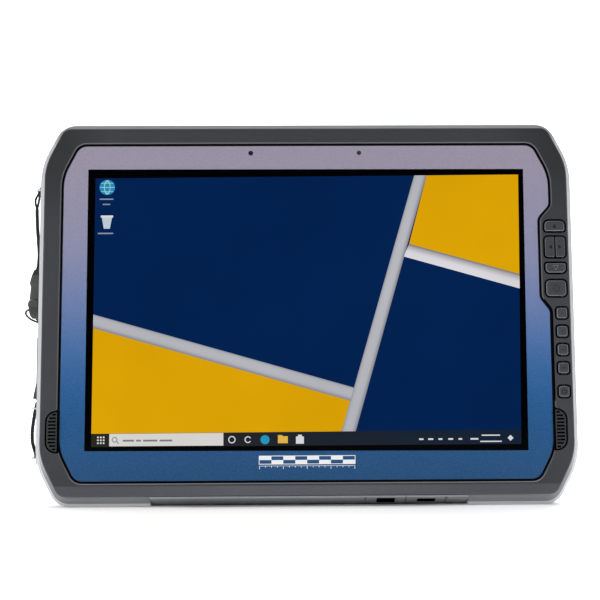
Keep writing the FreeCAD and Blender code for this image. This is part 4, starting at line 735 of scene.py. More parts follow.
# left edge, width
TRAY_MARKS = ((56.6, 2.2), (61.2, 2.6), (66.4, 2.0), (71.4, 2.4), (76.6, 1.8), (82.6, 4.0))
shapes = [disc(-105.3 + DOT_PITCH * i, -65.95 + DOT_PITCH * j, 0.47, 12)
          for i in range(3) for j in range(3)]
shapes += [rect(x, x + width, -65.3, -64.5) for x, width in TRAY_MARKS]
shapes += [rect(88.3, 97.6, -63.4, -62.8), rect(87.5, 98.4, -66.5, -65.9),
           disc(102.9, -64.5, 1.5, 4)]
flat_piece("bar_symbols", [lowered(shape) for shape in shapes], white, layer(6))
RING_Z = -64.6 + DROP
add_solids("bar_rings", [ring(-37.9, RING_Z, 1.35, 1.85, layer(6)),
                         ring(-29.8, RING_Z, 1.2, 1.7, layer(6), 30, 330)], white)
flat_piece("bar_disc", [lowered(disc(-21.2, -64.7, 2.3))],
           screen_ink("ink_teal", (38, 152, 190)), layer(6))
flat_piece("bar_folder", [lowered(rect(-14.7, -9.7, -66.5, -63.0)),
                          lowered(rect(-14.7, -12.4, -63.0, -62.4))],
           screen_ink("ink_amber", (236, 186, 74)), layer(6))
flat_piece("bar_bag", [lowered(rect(-5.6, -1.6, -66.8, -63.2)),
                       lowered(rect(-4.6, -2.6, -63.2, -62.3))], white, layer(6))
words = []
x = -92.8
for width in (5.6, 2.4, 7.2, 6.4):
    words.append(lowered(rect(x, x + width, -65.25, -64.35)))
    x += width + 1.1
flat_piece("search_bar_marks", words, grey, layer(7))
handle = lowered([(-96.1, -65.3), (-95.0, -66.5), (-94.7, -66.2), (-95.8, -65.0)])
add_solids("search_lens", [ring(-96.9, -64.3 + DROP, 1.0, 1.4, layer(7)),
                           slab(handle, layer(7))], grey)

# desktop symbols: a plain globe with its meridians and a small bin
GLOBE_X, GLOBE_Z = -102.4, 63.8
flat_piece("globe_disc", [disc(GLOBE_X, GLOBE_Z, 4.0)],
           screen_ink("ink_blue", (36, 138, 196)), layer(5))


def oval(cx, cz, rx, rz, band, depth):
    """Oval line, band wide at its sides."""
    verts, faces = ring(0.0, 0.0, 1.0 - band / rx, 1.0, depth, steps=36)
    return [(cx * MM + x * rx, y, cz * MM + z * rz) for x, y, z in verts], faces


bands = [rect(-106.1, -98.7, 63.6, 64.0), rect(-105.5, -99.3, 65.8, 66.15),
         rect(-105.5, -99.3, 61.45, 61.8)]
add_solids("globe_bands", [oval(GLOBE_X, GLOBE_Z, 1.7, 3.7, 0.4, layer(6))]
           + [slab(band, layer(7)) for band in bands],
           screen_ink("ink_pale_green", (150, 214, 196)))
flat_piece("bin_cup", [[(-105.0, 48.3), (-103.9, 42.2), (-100.8, 42.2), (-99.7, 48.3)]],
           screen_ink("ink_mist", (196, 210, 220)), layer(5))
flat_piece("bin_rim", [rect(-105.5, -99.2, 48.0, 49.1)], white, layer(6))
captions = [rect(-106.2, -99.2, 57.3, 57.95), rect(-104.6, -100.8, 54.6, 55.2),
            rect(-106.9, -99.1, 39.4, 40.1)]
flat_piece("caption_bars", captions, screen_ink("ink_caption", (140, 152, 176)), layer(5))

# map scale bar printed on the glass below the picture: alternate blocks, a rule, its ticks
BAR_X0, BAR_X1, BAR_Z0, BAR_Z1 = -24.0, 24.0, -78.0, -74.3
BLOCKS = 8
RULE = 0.35  # width of the line round the blocks
HALF_TICK = 0.14
block = (BAR_X1 - BAR_X0) / BLOCKS
middle = (BAR_Z0 + BAR_Z1) / 2
bars = []
for i in range(BLOCKS):
    left, right = BAR_X0 + block * i, BAR_X0 + block * (i + 1)
    upper = i % 2 == 0
    bars.append(rect(left, right, middle if upper else BAR_Z0, BAR_Z1 if upper else middle))
bars += [rect(BAR_X0 - RULE, BAR_X1 + RULE, BAR_Z1, BAR_Z1 + RULE),
         rect(BAR_X0 - RULE, BAR_X1 + RULE, BAR_Z0 - RULE, BAR_Z0),
         rect(BAR_X0 - RULE, BAR_X0, BAR_Z0, BAR_Z1),
         rect(BAR_X1, BAR_X1 + RULE, BAR_Z0, BAR_Z1)]
for i in range(2 * BLOCKS + 1):
    x = BAR_X0 + (BAR_X1 - BAR_X0) * i / (2 * BLOCKS)
    reach = 2.7 if i % 4 == 0 else 1.9
    bars.append(rect(x - HALF_TICK, x + HALF_TICK, BAR_Z0 - reach, BAR_Z0 - 1.0))
bars.append(rect(BAR_X0 - HALF_TICK, BAR_X1 + HALF_TICK, BAR_Z0 - 1.2, BAR_Z0 - 1.0))
flat_piece("scale_bar_print", bars, ink("print_white", (236, 238, 242), rough=0.3, vary=0.04),
           (GLASS_Y - 0.025, GLASS_Y - 0.004))

# camera and light sensor windows in the printed border
CAMERA_X, WINDOW_Z = -28.4, 81.7
window_depth = (GLASS_Y - 0.02, GLASS_Y - 0.004)
flat_piece("camera_dot", [disc(CAMERA_X, WINDOW_Z, 1.25)],
           ink("dot_black", (6, 6, 9), rough=0.12), window_depth)
flat_piece("sensor_dot", [disc(27.8, WINDOW_Z, 1.15)], looks["lens"], window_depth)
# painted reflection: a blue ring in the camera window
lens_glint = ring(CAMERA_X, WINDOW_Z, 0.42, 0.62, (GLASS_Y - 0.032, GLASS_Y - 0.018))
add_solids("camera_lens_glint", [lens_glint], ink("lens_glint_blue", (38, 42, 70), rough=0.1))


# ------------------------------------------------------------------ key legends
def key_face(node):
    """Middle of a key in x and z, and the y of its front."""
    lo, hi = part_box(node)
    return (lo.x + hi.x) / 2 / MM, (lo.z + hi.z) / 2 / MM, lo.y / MM


def key_depth(y, raised):
    """Depth of a mark that stands proud of the key front and is sunk a little into it."""
    return y - raised, y + 0.03


def triangle(cx, cz, radius, turn):
    angles = [math.radians(turn + 120 * i) for i in range(3)]
    return [(cx + radius * math.cos(a), cz + radius * math.sin(a)) for a in angles]


def dart(cx, cz, wide, tall, turn):
    """Arrow head: wide across its base, tall towards its point."""
    angle = math.radians(turn)
    ux, uz = math.cos(angle), math.sin(angle)
    base_x, base_z = cx - ux * tall / 2, cz - uz * tall / 2
    return [(cx + ux * tall / 2, cz + uz * tall / 2),
            (base_x - uz * wide / 2, base_z + ux * wide / 2),
            (base_x + uz * wide / 2, base_z - ux * wide / 2)]


legend = ink("legend_dark", (24, 25, 27), rough=0.6, spec=0.1)
edge_ink = ink("legend_edge", (112, 114, 119), rough=0.5)
# key, way it points in degrees, shift in x,
# then its arrows: name ending, shift in z, width, height, how far raised, material
ARROWS = (
    ("key_up", 90, 0.0, (("_arrow", 0.0, 1.95, 2.1, 0.06, legend),)),
    ("key_left", 180, 0.35, (("_arrow", 0.0, 2.3, 1.6, 0.06, legend),)),
    ("key_right", 0, -0.35, (("_arrow", 0.0, 2.3, 1.6, 0.06, legend),)),
    ("key_down", 270, 0.0, (("_arrow_edge", 0.0, 2.7, 2.5, 0.05, edge_ink),
                            ("_arrow", 0.12, 1.75, 1.55, 0.09, legend))),
)
for node, turn, shift, arrows in ARROWS:
    cx, cz, y = key_face(node)
    for ending, lift, wide, tall, raised, mat in arrows:
        head = dart(cx + shift, cz + lift, wide, tall, turn)
        add_solids(node + ending, [slab(head, key_depth(y, raised))], mat, node)

cx, cz, y = key_face("key_enter")
depth = key_depth(y, 0.06)
add_solids("key_enter_mark", [ring(cx, cz, 1.42, 1.8, depth), slab(disc(cx, cz, 0.42, 18), depth)],
           ink("legend_soft", (38, 39, 42), rough=0.6, vary=0.2, spec=0.1),
           "key_enter")
cx, cz, y = key_face("key_power")
depth = key_depth(y, 0.07)
stroke = rect(cx - 0.17, cx + 0.17, cz + 0.1, cz + 1.65)
add_solids("key_power_mark", [ring(cx, cz, 0.95, 1.3, depth, 125, 415), slab(stroke, depth)],
           legend, "key_power")
LEGEND_DOT_PITCH = 0.7
function_keys = ["key_f%d" % (i + 1) for i in range(4)]
for i, node in enumerate(function_keys):
    cx, cz, y = key_face(node)
    first = cx - LEGEND_DOT_PITCH * i / 2
    dots = [slab(disc(first + LEGEND_DOT_PITCH * j, cz, 0.24, 14), key_depth(y, 0.05))
            for j in range(i + 1)]
    add_solids(node + "_dots", dots, legend, node)


# ------------------------------------------------------------------ painted shadow lines on the bezel
# Painted shadow: a black line round every key well and grille seat.
def shadow_line(x0, x1, z0, z1, radii, near, far):
    """Closed ring between two offsets of a rounded rectangle."""
    points = []
    for by in (near, far):
        points += rounded(x0 - by, x1 + by, z0 - by, z1 + by, [r + by for r in radii])
    n = len(points) // 2
    verts = [(x * MM, y * MM, z * MM) for y in (-26.03, -25.6) for x, z in points]
    faces = []
    for i in range(n):
        m = (i + 1) % n
        faces += [(i, m, n + m, n + i), (2 * n + i, 3 * n + i, 3 * n + m, 2 * n + m),
                  (i, 2 * n + i, 2 * n + m, m), (n + i, n + m, 3 * n + m, 3 * n + i)]
    return verts, faces


def spans(node):
    lo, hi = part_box(node)
    return lo.x / MM, hi.x / MM, lo.z / MM, hi.z / MM


KEY_RADII = {"key_up": (1.0, 1.0, 2.2, 2.2), "key_down": (2.0, 2.0, 0.8, 0.8),
             "key_enter": (1.9,) * 4}
KEY_SHADOW_LINE = {"near": 0.6, "far": 0.98}
shadow_lines = [shadow_line(*spans(node), KEY_RADII.get(node, (1.1,) * 4), **KEY_SHADOW_LINE)
         for node in ["key_up", "key_down", "key_enter", "key_power"] + function_keys]
# the left and right keys share one well
left, right = spans("key_left"), spans("key_right")
shadow_lines.append(shadow_line(left[0], right[1], left[2], left[3], (1.5,) * 4, **KEY_SHADOW_LINE))
GRILLE_IN, GRILLE_OUT, GRILLE_Z = 125.3, 131.6, (-71.8, -51.2)
SQUARE, ROUND = 0.05, 5.15  # corner radii of the grille seat
shadow_lines.append(shadow_line(GRILLE_IN, GRILLE_OUT, *GRILLE_Z, (SQUARE, ROUND, ROUND, SQUARE),
                  near=0.0, far=0.36))
shadow_lines.append(shadow_line(-GRILLE_OUT, -GRILLE_IN, *GRILLE_Z, (ROUND, SQUARE, SQUARE, ROUND),
                  near=0.0, far=0.36))
add_solids("bezel_shadow_lines", shadow_lines, ink("shadow_line_ink", (7, 7, 8), rough=0.8, vary=0.2, spec=0.02))

# ------------------------------------------------------------------ cords
CORD_Y = -15.0  # points of a cord give y from this plane
CORD_SIDES = 14
CORD_TWIST = 1.7  # radians per mm
CORD_LOBES = 3
LOBE_DEPTH = 0.16  # share of the radius
LINE_RADIUS = 0.98 * MM


def smooth_path(points, per=14, closed=False):
    """Catmull-Rom through (x, y from CORD_Y, z) points, in metres, per steps to a span."""
    spots = [Vector((x, CORD_Y + y, z)) * MM for x, y, z in points]
    if closed:
        spots = [spots[-1], *spots, *spots[:2]]
    else:
        spots = [spots[0] * 2 - spots[1], *spots, spots[-1] * 2 - spots[-2]]
    path = []
    for i in range(1, len(spots) - 2):
        a, b, c, d = spots[i - 1:i + 3]
        for k in range(per):
            t = k / per
            path.append(0.5 * ((2 * b) + (c - a) * t + (2 * a - 5 * b + 4 * c - d) * t * t
                               + (3 * b - a - 3 * c + d) * t ** 3))
    if not closed:
        path.append(spots[-2])
    return path


def sweep(path, radius, closed):
    """Tube of twisted strands along a path. UV is millimetres round and along."""
    n = len(path)
    tangents = []
    for i in range(n):
        before = path[(i - 1) % n] if closed or i > 0 else path[0]
        after = path[(i + 1) % n] if closed or i < n - 1 else path[-1]
        tangents.append((after - before).normalized())
    first = tangents[0]
    up = Vector((0, 1, 0)) if abs(first.y) < 0.9 else Vector((1, 0, 0))
    normal = (up - first * up.dot(first)).normalized()
    verts, faces, uvs = [], [], []
    length = 0.0
    for i, tangent in enumerate(tangents):
        if i:
            length += (path[i] - path[i - 1]).length
            normal = (normal - tangent * normal.dot(tangent)).normalized()
        side = tangent.cross(normal)
        for k in range(CORD_SIDES):
            angle = 2 * math.pi * k / CORD_SIDES
            lobe = abs(math.cos(CORD_LOBES * 0.5 * (angle + CORD_TWIST * length / MM)))
            r = radius * (1 + LOBE_DEPTH * lobe - LOBE_DEPTH)
            verts.append(path[i] + (normal * math.cos(angle) + side * math.sin(angle)) * r)
            uvs.append((angle * radius / MM, length / MM))
    for i in range(n if closed else n - 1):
        a, b = i * CORD_SIDES, (i + 1) % n * CORD_SIDES
        for k in range(CORD_SIDES):
            m = (k + 1) % CORD_SIDES
            faces.append((a + k, a + m, b + m, b + k))
    if not closed:
        faces.append(tuple(range(CORD_SIDES - 1, -1, -1)))
        faces.append(tuple((n - 1) * CORD_SIDES + k for k in range(CORD_SIDES)))
    return verts, faces, uvs


def cord_piece(name, paths, radius, body="case", closed=False):
    solids, uvs = [], []
    for path in paths:
        verts, faces, part_uvs = sweep(path, radius, closed)
        solids.append((verts, faces))
        uvs += part_uvs
    return new_object(name, gather(solids), looks["cord"], body, uvs, True)


def hitch_turns():
    """Three closed turns stacked along z and leaning a little."""
    cx, cz, rx, ry = -139.75, 63.8, 0.62, 0.8
    turns, rise, steps, tilt, ripple = 3, 0.95, 22, 0.25, 0.2
    out = []
    for s in range(turns):
        z0 = cz + rise * (s - (turns - 1) / 2)
        angles = [2 * math.pi * i / steps for i in range(steps)]
        out.append([Vector((cx + rx * math.cos(a), CORD_Y + ry * math.sin(a),
                            z0 + tilt * math.cos(a) + ripple * math.sin(2 * a + s))) * MM
                    for a in angles])
    return out


# points of the cords: x, y from CORD_Y, z
HITCH_TAIL = [(-139.7, -0.2, 64.6), (-139.3, -0.3, 65.6), (-138.9, -0.2, 66.8),
              (-138.7, 0, 68.6), (-138.6, 0.3, 69.6)]
LEFT_LEG = [(-140.0, -0.3, 63.0), (-141.0, -0.5, 61.2), (-141.75, -0.5, 59.2),
            (-141.6, -0.3, 57.0), (-141.1, -0.1, 55.2), (-140.9, 0, 53.6)]
RIGHT_LEG = [(-139.8, 0.4, 63.0), (-140.0, 0.6, 61.0), (-140.3, 0.6, 58.6),
             (-140.7, 0.4, 56.4), (-140.9, 0.2, 54.8), (-140.9, 0, 53.2)]
UPPER_LINE = [(-141.0, 0, 54.6), (-140.86, 0, 51.0), (-140.5, 0, 44.2), (-139.9, 0, 37.5),
              (-139.4, 0, 30.9), (-139.55, 0, 25.6), (-140.1, 0, 22.3)]
LOWER_LINE = [(-139.0, 0.6, -46.4), (-139.25, 0.2, -48.4), (-139.8, 0, -51.0),
              (-140.56, 0, -56.5), (-141.0, 0, -60.7), (-141.0, 0, -64.3),
              (-140.75, 0, -67.0), (-139.9, 0, -70.1), (-139.2, 0.2, -72.4),
              (-139.0, 0.6, -74.6)]
PLUG_LOOP = [(-143.6, -0.6, 1.8), (-145.3, -0.6, 0.6), (-145.2, -0.9, -1.2),
             (-143.1, -1.0, -3.3), (-140.5, -0.6, -4.6), (-139.3, 0.6, -4.9),
             (-139.6, 2.2, -4.1), (-141.4, 3.1, -2.6), (-143.2, 3.1, -0.6),
             (-144.3, 2.2, 1.2), (-144.0, 0.8, 2.2)]

# upper cord: hitch below the anchor, a short open loop, then one line down to the clip
cord_piece("tether_hitch", hitch_turns(), 0.56 * MM, closed=True)
cord_piece("tether_hitch_tail", [smooth_path(HITCH_TAIL, per=8)], 0.42 * MM)
cord_piece("tether_cord_upper_braid", [smooth_path(LEFT_LEG), smooth_path(RIGHT_LEG)], 0.6 * MM)
upper = cord_piece("tether_cord_upper_line", [smooth_path(UPPER_LINE, per=18)], LINE_RADIUS)
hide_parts("tether_cord_upper")
lower = cord_piece("tether_cord_lower_braid", [smooth_path(LOWER_LINE, per=16)], LINE_RADIUS)
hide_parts("tether_cord_lower")
# small loop that hangs from the plug
cord_piece("clip_loop_cord", [smooth_path(PLUG_LOOP, per=8, closed=True)], 0.55 * MM,
           body="clip_plug", closed=True)

# ------------------------------------------------------------------ hand strap
STRAP_X, STRAP_WIDTH = -104.0, 38.0
BAR_Z, BAR_Y = 64.0, 3.2  # the bars that the webbing passes round, at +z and -z
PAD_END = 50.0
WEB_WIDTH, WEB_THICK = 25.0, 1.1
WEB_END = 52.0  # z where the webbing leaves the pad for the bar
WEB_LIFT = 2.35  # middle of the webbing behind the middle of the pad
WRAP_RADIUS = 2.35
UNDER_LIFT = -2.2
STITCH_PITCH = 2.6


def strap_y(z):
    """Middle of the strap's thickness."""
    t = min(1.0, abs(z) / 62.0)
    return 5.2 + 12.0 * (1 - t ** 2.3)


def strap_frame(z):
    """Middle point of the strap and its normal, away from the case."""
    e = 0.5
    along = Vector((0, strap_y(z + e) - strap_y(z - e), 2 * e)).normalized()
    return Vector((0, strap_y(z), z)), Vector((0, along.z, -along.y))


def strap_point(z, lift):
    """(y, z) at a distance from the strap's middle along its normal."""
    spot, normal = strap_frame(z)
    point = spot + normal * lift
    return point.y, point.z


def pad_mesh(z0, z1, wide, thick, rows=60, cols=18):
    """Crowned closed pad along the strap: rounded ends, thinner edges."""
    verts, faces = [], []
    for i in range(rows + 1):
        t = i / rows
        end = max(0.0, 1 - (abs(2 * t - 1)) ** 14)
        half = wide / 2 * (0.86 + 0.14 * end)
        spot, normal = strap_frame(z0 + (z1 - z0) * t)
        taper = 0.35 + 0.65 * min(1.0, min(t, 1 - t) / 0.05) ** 0.5
        for side in (1, -1):
            for k in range(cols + 1):
                s = -1 + 2 * k / cols
                crown = (1 - abs(s) ** 3.2) * 0.75 + 0.25
                height = thick / 2 * crown * taper * side
                verts.append((Vector((STRAP_X + s * half, 0, 0)) + spot + normal * height) * MM)
    row = 2 * (cols + 1)
    for i in range(rows):
        for k in range(cols):
            a = i * row + k
            faces.append((a, a + 1, a + row + 1, a + row))
            b = a + cols + 1
            faces.append((b, b + row, b + row + 1, b + 1))
        for k in (0, cols):
            a, b = i * row + k, i * row + cols + 1 + k
            faces.append((a, a + row, b + row, b))
    for i in (0, rows):
        for k in range(cols):
            a, b = i * row + k, i * row + cols + 1 + k
            faces.append((a, b, b + 1, a + 1))
    return verts, faces


def pin_ends_and_edges(pillow, start):
    """Vertex group that holds the ends, and most of the long edges, in place."""
    pin = pillow.vertex_groups.new(name="pin")
    for i, (x, y, z) in enumerate(start):
        end = min(1.0, max(0.0, (abs(z) - 0.040) / 0.008))
        edge = min(1.0, max(0.0, (abs(x - STRAP_X * MM) - 0.0155) / 0.002))
        pin.add([i], float(max(end, 0.85 * edge)), "REPLACE")


def swell(pillow, voxel, pressure, cap, frames):
    """Cloth simulation of a padded pillow: remesh, inflate a little, and keep each point
    within cap of its start. voxel and cap are in metres."""
    bpy.context.view_layer.objects.active = pillow
    for other in bpy.context.selected_objects:
        other.select_set(False)
    pillow.select_set(True)
    remesh = pillow.modifiers.new("remesh", "REMESH")
    remesh.mode = "VOXEL"
    remesh.voxel_size = voxel
    bpy.ops.object.modifier_apply(modifier=remesh.name)
    start = np.array([v.co[:] for v in pillow.data.vertices])
    pin_ends_and_edges(pillow, start)
    cloth = pillow.modifiers.new("cloth", "CLOTH")
    settings = cloth.settings
    settings.quality = 5
    settings.mass = 0.15
    settings.tension_stiffness = settings.compression_stiffness = 12
    settings.shear_stiffness = 5
    settings.bending_stiffness = 0.3
    settings.use_pressure = True
    settings.uniform_pressure_force = pressure
    settings.vertex_group_mass = "pin"
    settings.pin_stiffness = 0.8
    settings.effector_weights.gravity = 0
    cloth.collision_settings.use_collision = False
    scene.frame_start, scene.frame_end = 1, frames
    for number in range(1, frames + 1):
        scene.frame_set(number)
    settled = pillow.evaluated_get(bpy.context.evaluated_depsgraph_get())
    end = np.array([v.co[:] for v in settled.data.vertices])
    pillow.modifiers.remove(cloth)
    scene.frame_set(1)
    move = end - start
    length = np.linalg.norm(move, axis=1, keepdims=True)
    move = np.where(length > cap, move / np.maximum(length, 1e-9) * cap, move)
    pillow.data.vertices.foreach_set("co", (start + move).astype(np.float32).ravel())
    pillow.data.update()
    smoother = pillow.modifiers.new("sub", "SUBSURF")
    smoother.levels = smoother.render_levels = 1
    bpy.ops.object.modifier_apply(modifier=smoother.name)
    for polygon in pillow.data.polygons:
        polygon.use_smooth = True


pad = new_object("hand_strap_pad", pad_mesh(-PAD_END, PAD_END, STRAP_WIDTH - 1.5, 3.0),
                 looks["pad"], smooth=True)
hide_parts("hand_strap")
swell(pad, voxel=1.3 * MM, pressure=3.0, cap=1.1 * MM, frames=20)


def ribbon(path, wide, thick):
    """Flat webbing with rounded selvedges along a path of (y, z) points."""
    verts, faces, uvs = [], [], []
    n = len(path)
    profile = []
    for k in range(9):
        s = -1 + 2 * k / 8
        profile.append((s * wide / 2, thick / 2 * (1 - 0.55 * abs(s) ** 8)))
    profile += [(x, -h) for x, h in reversed(profile)]
    m = len(profile)
    length = 0.0
    for i, (y, z) in enumerate(path):
        before, after = path[max(0, i - 1)], path[min(n - 1, i + 1)]
        along_y, along_z = after[0] - before[0], after[1] - before[1]
        size = math.hypot(along_y, along_z)
        normal_y, normal_z = along_z / size, -along_y / size
        if i:
            length += math.hypot(y - path[i - 1][0], z - path[i - 1][1])
        for x, h in profile:
            verts.append(((STRAP_X + x) * MM, (y + normal_y * h) * MM, (z + normal_z * h) * MM))
            uvs.append((x, length))
    for i in range(n - 1):
        for k in range(m):
            j = (k + 1) % m
            faces.append((i * m + k, i * m + j, (i + 1) * m + j, (i + 1) * m + k))
    faces.append(tuple(range(m - 1, -1, -1)))
    faces.append(tuple((n - 1) * m + k for k in range(m)))
    return (verts, faces), uvs


def between(a, b, t):
    return tuple(p * (1 - t) + q * t for p, q in zip(a, b))


def wrap(sign):
    """Points from the strap's end, round the bar and back along the inside."""
    start = strap_point(WEB_END, WEB_LIFT)
    out = [between(start, (BAR_Y + WRAP_RADIUS, BAR_Z + 0.2), i / 6) for i in range(1, 6)]
    for i in range(13):
        angle = math.radians(90 - 15 * i)
        out.append((BAR_Y + WRAP_RADIUS * math.sin(angle), BAR_Z + WRAP_RADIUS * math.cos(angle)))
    under = strap_point(WEB_END, UNDER_LIFT)
    out += [between((BAR_Y - WRAP_RADIUS, BAR_Z), under, i / 6) for i in range(1, 7)]
    out += [strap_point(WEB_END - 2.2 * i, UNDER_LIFT) for i in range(1, 7)]
    return [(y, z * sign) for y, z in out]


# webbing that carries the load: over the pad, round both bars and back under itself
over = [strap_point(-WEB_END + 2 * WEB_END * i / 60, WEB_LIFT) for i in range(61)]
web, web_uvs = ribbon(list(reversed(wrap(-1))) + over + wrap(1), WEB_WIDTH, WEB_THICK)
new_object("hand_strap_webbing", web, looks["webbing"], uvs=web_uvs, smooth=True)


def stitches(name, rows, length, radius):
    """Raised threads, one for each (position, direction, normal)."""
    verts, faces = [], []
    m = 7
    for spot, along, normal in rows:
        side = along.cross(normal)
        k = len(verts)
        for i in range(m):
            t = -1 + 2 * i / (m - 1)
            r = radius * math.sqrt(max(0.05, 1 - t ** 4))
            centre = spot + along * (t * length / 2) + normal * (radius * 0.75 * (1 - t * t))
            for j in range(6):
                a = math.pi / 3 * j
                verts.append((centre + (side * math.cos(a) + normal * math.sin(a)) * r) * MM)
        for i in range(m - 1):
            a, b = k + i * 6, k + (i + 1) * 6
            for j in range(6):
                n = (j + 1) % 6
                faces.append((a + j, a + n, b + n, b + j))
        faces.append(tuple(k + j for j in range(5, -1, -1)))
        faces.append(tuple(k + (m - 1) * 6 + j for j in range(6)))
    return new_object(name, (verts, faces), looks["thread"], smooth=True)


def long_rows(offset, end, lift):
    """Stitches along the strap, offset to each side of its middle."""
    rows = []
    for shift in (-offset, offset):
        z = -end
        while z <= end:
            spot, normal = strap_frame(z)
            ahead, _ = strap_frame(z + 0.5)
            rows.append((Vector((STRAP_X + shift, 0, 0)) + spot + normal * lift,
                         (ahead - spot).normalized(), normal))
            z += STITCH_PITCH
    return rows


rows = long_rows(WEB_WIDTH / 2 - 1.6, end=48.0, lift=WEB_LIFT + 0.5)
for sign in (-1, 1):
    for z in (40.0, 47.0):
        for k in range(9):
            spot, normal = strap_frame(z * sign)
            rows.append((Vector((STRAP_X - 9.6 + 2.4 * k, 0, 0)) + spot
                         + normal * (WEB_LIFT + 0.52), Vector((1, 0, 0)), normal))
stitches("hand_strap_stitching", rows, length=1.7, radius=0.17)
# bound edge of the pad
stitches("hand_strap_edge_stitching", long_rows(STRAP_WIDTH / 2 - 2.2, end=47.0, lift=1.38),
         length=1.6, radius=0.15)


# ------------------------------------------------------------------ details on the back
def pill(x0, x1, z0, z1, y0, y1, radius):
    """Rounded raised pad with a chamfered crown at y1."""
    inset, chamfer = 0.35, 0.3
    foot = rounded(x0, x1, z0, z1, (radius,) * 4, steps=4)
    crown = rounded(x0 + inset, x1 - inset, z0 + inset, z1 - inset,
                    (max(0.2, radius - inset),) * 4, steps=4)
    n = len(foot)
    verts = [(x * MM, y * MM, z * MM)
             for outline, y in ((foot, y0), (foot, y1 - chamfer), (crown, y1))
             for x, z in outline]
    faces = [tuple(range(n - 1, -1, -1)), tuple(range(2 * n, 3 * n))]
    for k in (0, n):
        faces += [(k + i, k + (i + 1) % n, k + n + (i + 1) % n, k + n + i) for i in range(n)]
    return verts, faces


ribs = []
for i in range(9):
    z = -10.0 + 7.2 * i
    for x0, x1 in ((60.0, 84.0), (-76.0, -56.0)):
        ribs.append(pill(x0, x1, z, z + 3.2, -1.15, -0.45, radius=1.5))
add_solids("back_grip_ribs", ribs, looks["cover"])
ribs = [pill(-40.0 + 16.5 * i, -28.0 + 16.5 * i, -80.5, -78.5, -1.2, -0.55, radius=0.9)
        for i in range(7)]
add_solids("battery_grip_ribs", ribs, looks["battery"])
flat_piece("battery_level_dots", [disc(66.0 + 4.2 * i, -32.5, 0.9, 18) for i in range(4)],
           ink("level_dot", (150, 168, 150), rough=0.2), (-1.1, -0.86))
# raised thumb arrow beside each latch
for word, cx, turn in (("left", -80.5, 180), ("right", 116.5, 0)):
    flat_piece("latch_arrow_" + word, [triangle(cx, -56.0, 1.7, turn)], edge_ink,
               (-1.1, -0.85))

# stylus: trim ring, nose ring, nib and side button
STYLUS_X, STYLUS_Y = 117.0, 3.9


def turned(name, profile, mat, steps=40):
    """Solid of revolution round the stylus's axis from a closed profile of (radius, z)."""
    verts, faces = [], []
    n = len(profile)
    for i in range(steps):
        angle = 2 * math.pi * i / steps
        for r, z in profile:
            verts.append(((STYLUS_X + r * math.cos(angle)) * MM,
                          (STYLUS_Y + r * math.sin(angle)) * MM, z * MM))
    for i in range(steps):
        a, b = i * n, (i + 1) % steps * n
        faces += [(a + m, a + (m + 1) % n, b + (m + 1) % n, b + m) for m in range(n)]
    return new_object(name, (verts, faces), mat, "stylus", smooth=True)


turned("stylus_trim_ring", [(3.9, 60.2), (4.14, 60.4), (4.14, 61.6), (3.9, 61.8)],
       looks["steel"])
turned("stylus_nose_ring", [(3.9, -37.4), (4.12, -37.2), (4.12, -36.4), (3.9, -36.2)],
       looks["steel"])
turned("stylus_nib", [(0.05, -47.0), (0.55, -46.95), (0.8, -46.6), (0.83, -46.0), (0.05, -46.0)],
       looks["rubber"], steps=24)
button = pill(STYLUS_X - 1.4, STYLUS_X + 1.4, -30.0, -18.6, STYLUS_Y + 3.6, STYLUS_Y + 4.45,
              radius=1.3)
add_solids("stylus_side_button", [button], looks["latch"], "stylus")
# two rings in the rear camera window
add_solids("rear_lens_rings", [ring(92.0, 70.0, 2.0, 2.6, (-0.28, -0.2)),
                               ring(92.0, 70.0, 3.6, 3.8, (-0.28, -0.22))],
           looks["dark_steel"])


# ------------------------------------------------------------------ stage (metres)
def paper_mat():
    """White paper that glows a little to the camera, with a painted contact shadow close under the
    case.
    """
    tree = Tree("stage_paper")
    seen = tree.add("ShaderNodeLightPath").outputs["Is Camera Ray"]
    x, y, z = tree.xyz()
    away = tree.math("SQRT", tree.math("ADD", tree.mul(x, x), tree.mul(y, y)))
    glow = tree.math("MAXIMUM", tree.remap(y, (0.02, 0.5), to=(0.12, 0.6)),
                     tree.remap(away, (0.7, 2.0), to=(0.12, 0.9)))
    glow = tree.mul(seen, glow)
    # painted contact shadow under the front of the case
    x, y, z = tree.xyz()
    near = tree.mul(tree.within(tree.math("ABSOLUTE", x), high=78.0, soft=22.0),
                    tree.remap(y, (-0.044, -0.022)))
    near = tree.mul(near, tree.within(y, high=-6.0, soft=12.0))
    paper = tree.mix(tree.noise(300.0, detail=2.0), (0.86, 0.86, 0.86), (0.90, 0.90, 0.90))
    paper = tree.mix(tree.mul(tree.mul(near, near), 0.5), paper, (0.2, 0.2, 0.2))
    glow = tree.mul(glow, tree.flip(tree.mul(near, 0.7)))
    return tree.principled(paper, 0.9, spec=0.1, emission=(1.0, 1.0, 1.0), strength=glow)


def paper_mesh():
    """Floor that curves up into a wall behind the object."""
    front, bend, radius, top, half = -3.0, 1.1, 0.8, 4.0, 4.0
    floor_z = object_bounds()[0].z - 0.0001
    profile = [(front, 0.0)]
    for i in range(13):
        angle = math.radians(90 * i / 12)
        profile.append((bend + radius * math.sin(angle), radius - radius * math.cos(angle)))
    profile.append((bend + radius, top))
    verts = [(x, y, floor_z + z) for y, z in profile for x in (-half, half)]
    faces = [(2 * i, 2 * i + 1, 2 * i + 3, 2 * i + 2) for i in range(len(profile) - 1)]
    mesh = bpy.data.meshes.new("stage_floor")
    mesh.from_pydata(verts, [], faces)
    for polygon in mesh.polygons:
        polygon.use_smooth = True
    return mesh


mesh = paper_mesh()
mesh.materials.append(paper_mat())
floor = bpy.data.objects.new("stage_floor", mesh)
scene.collection.objects.link(floor)

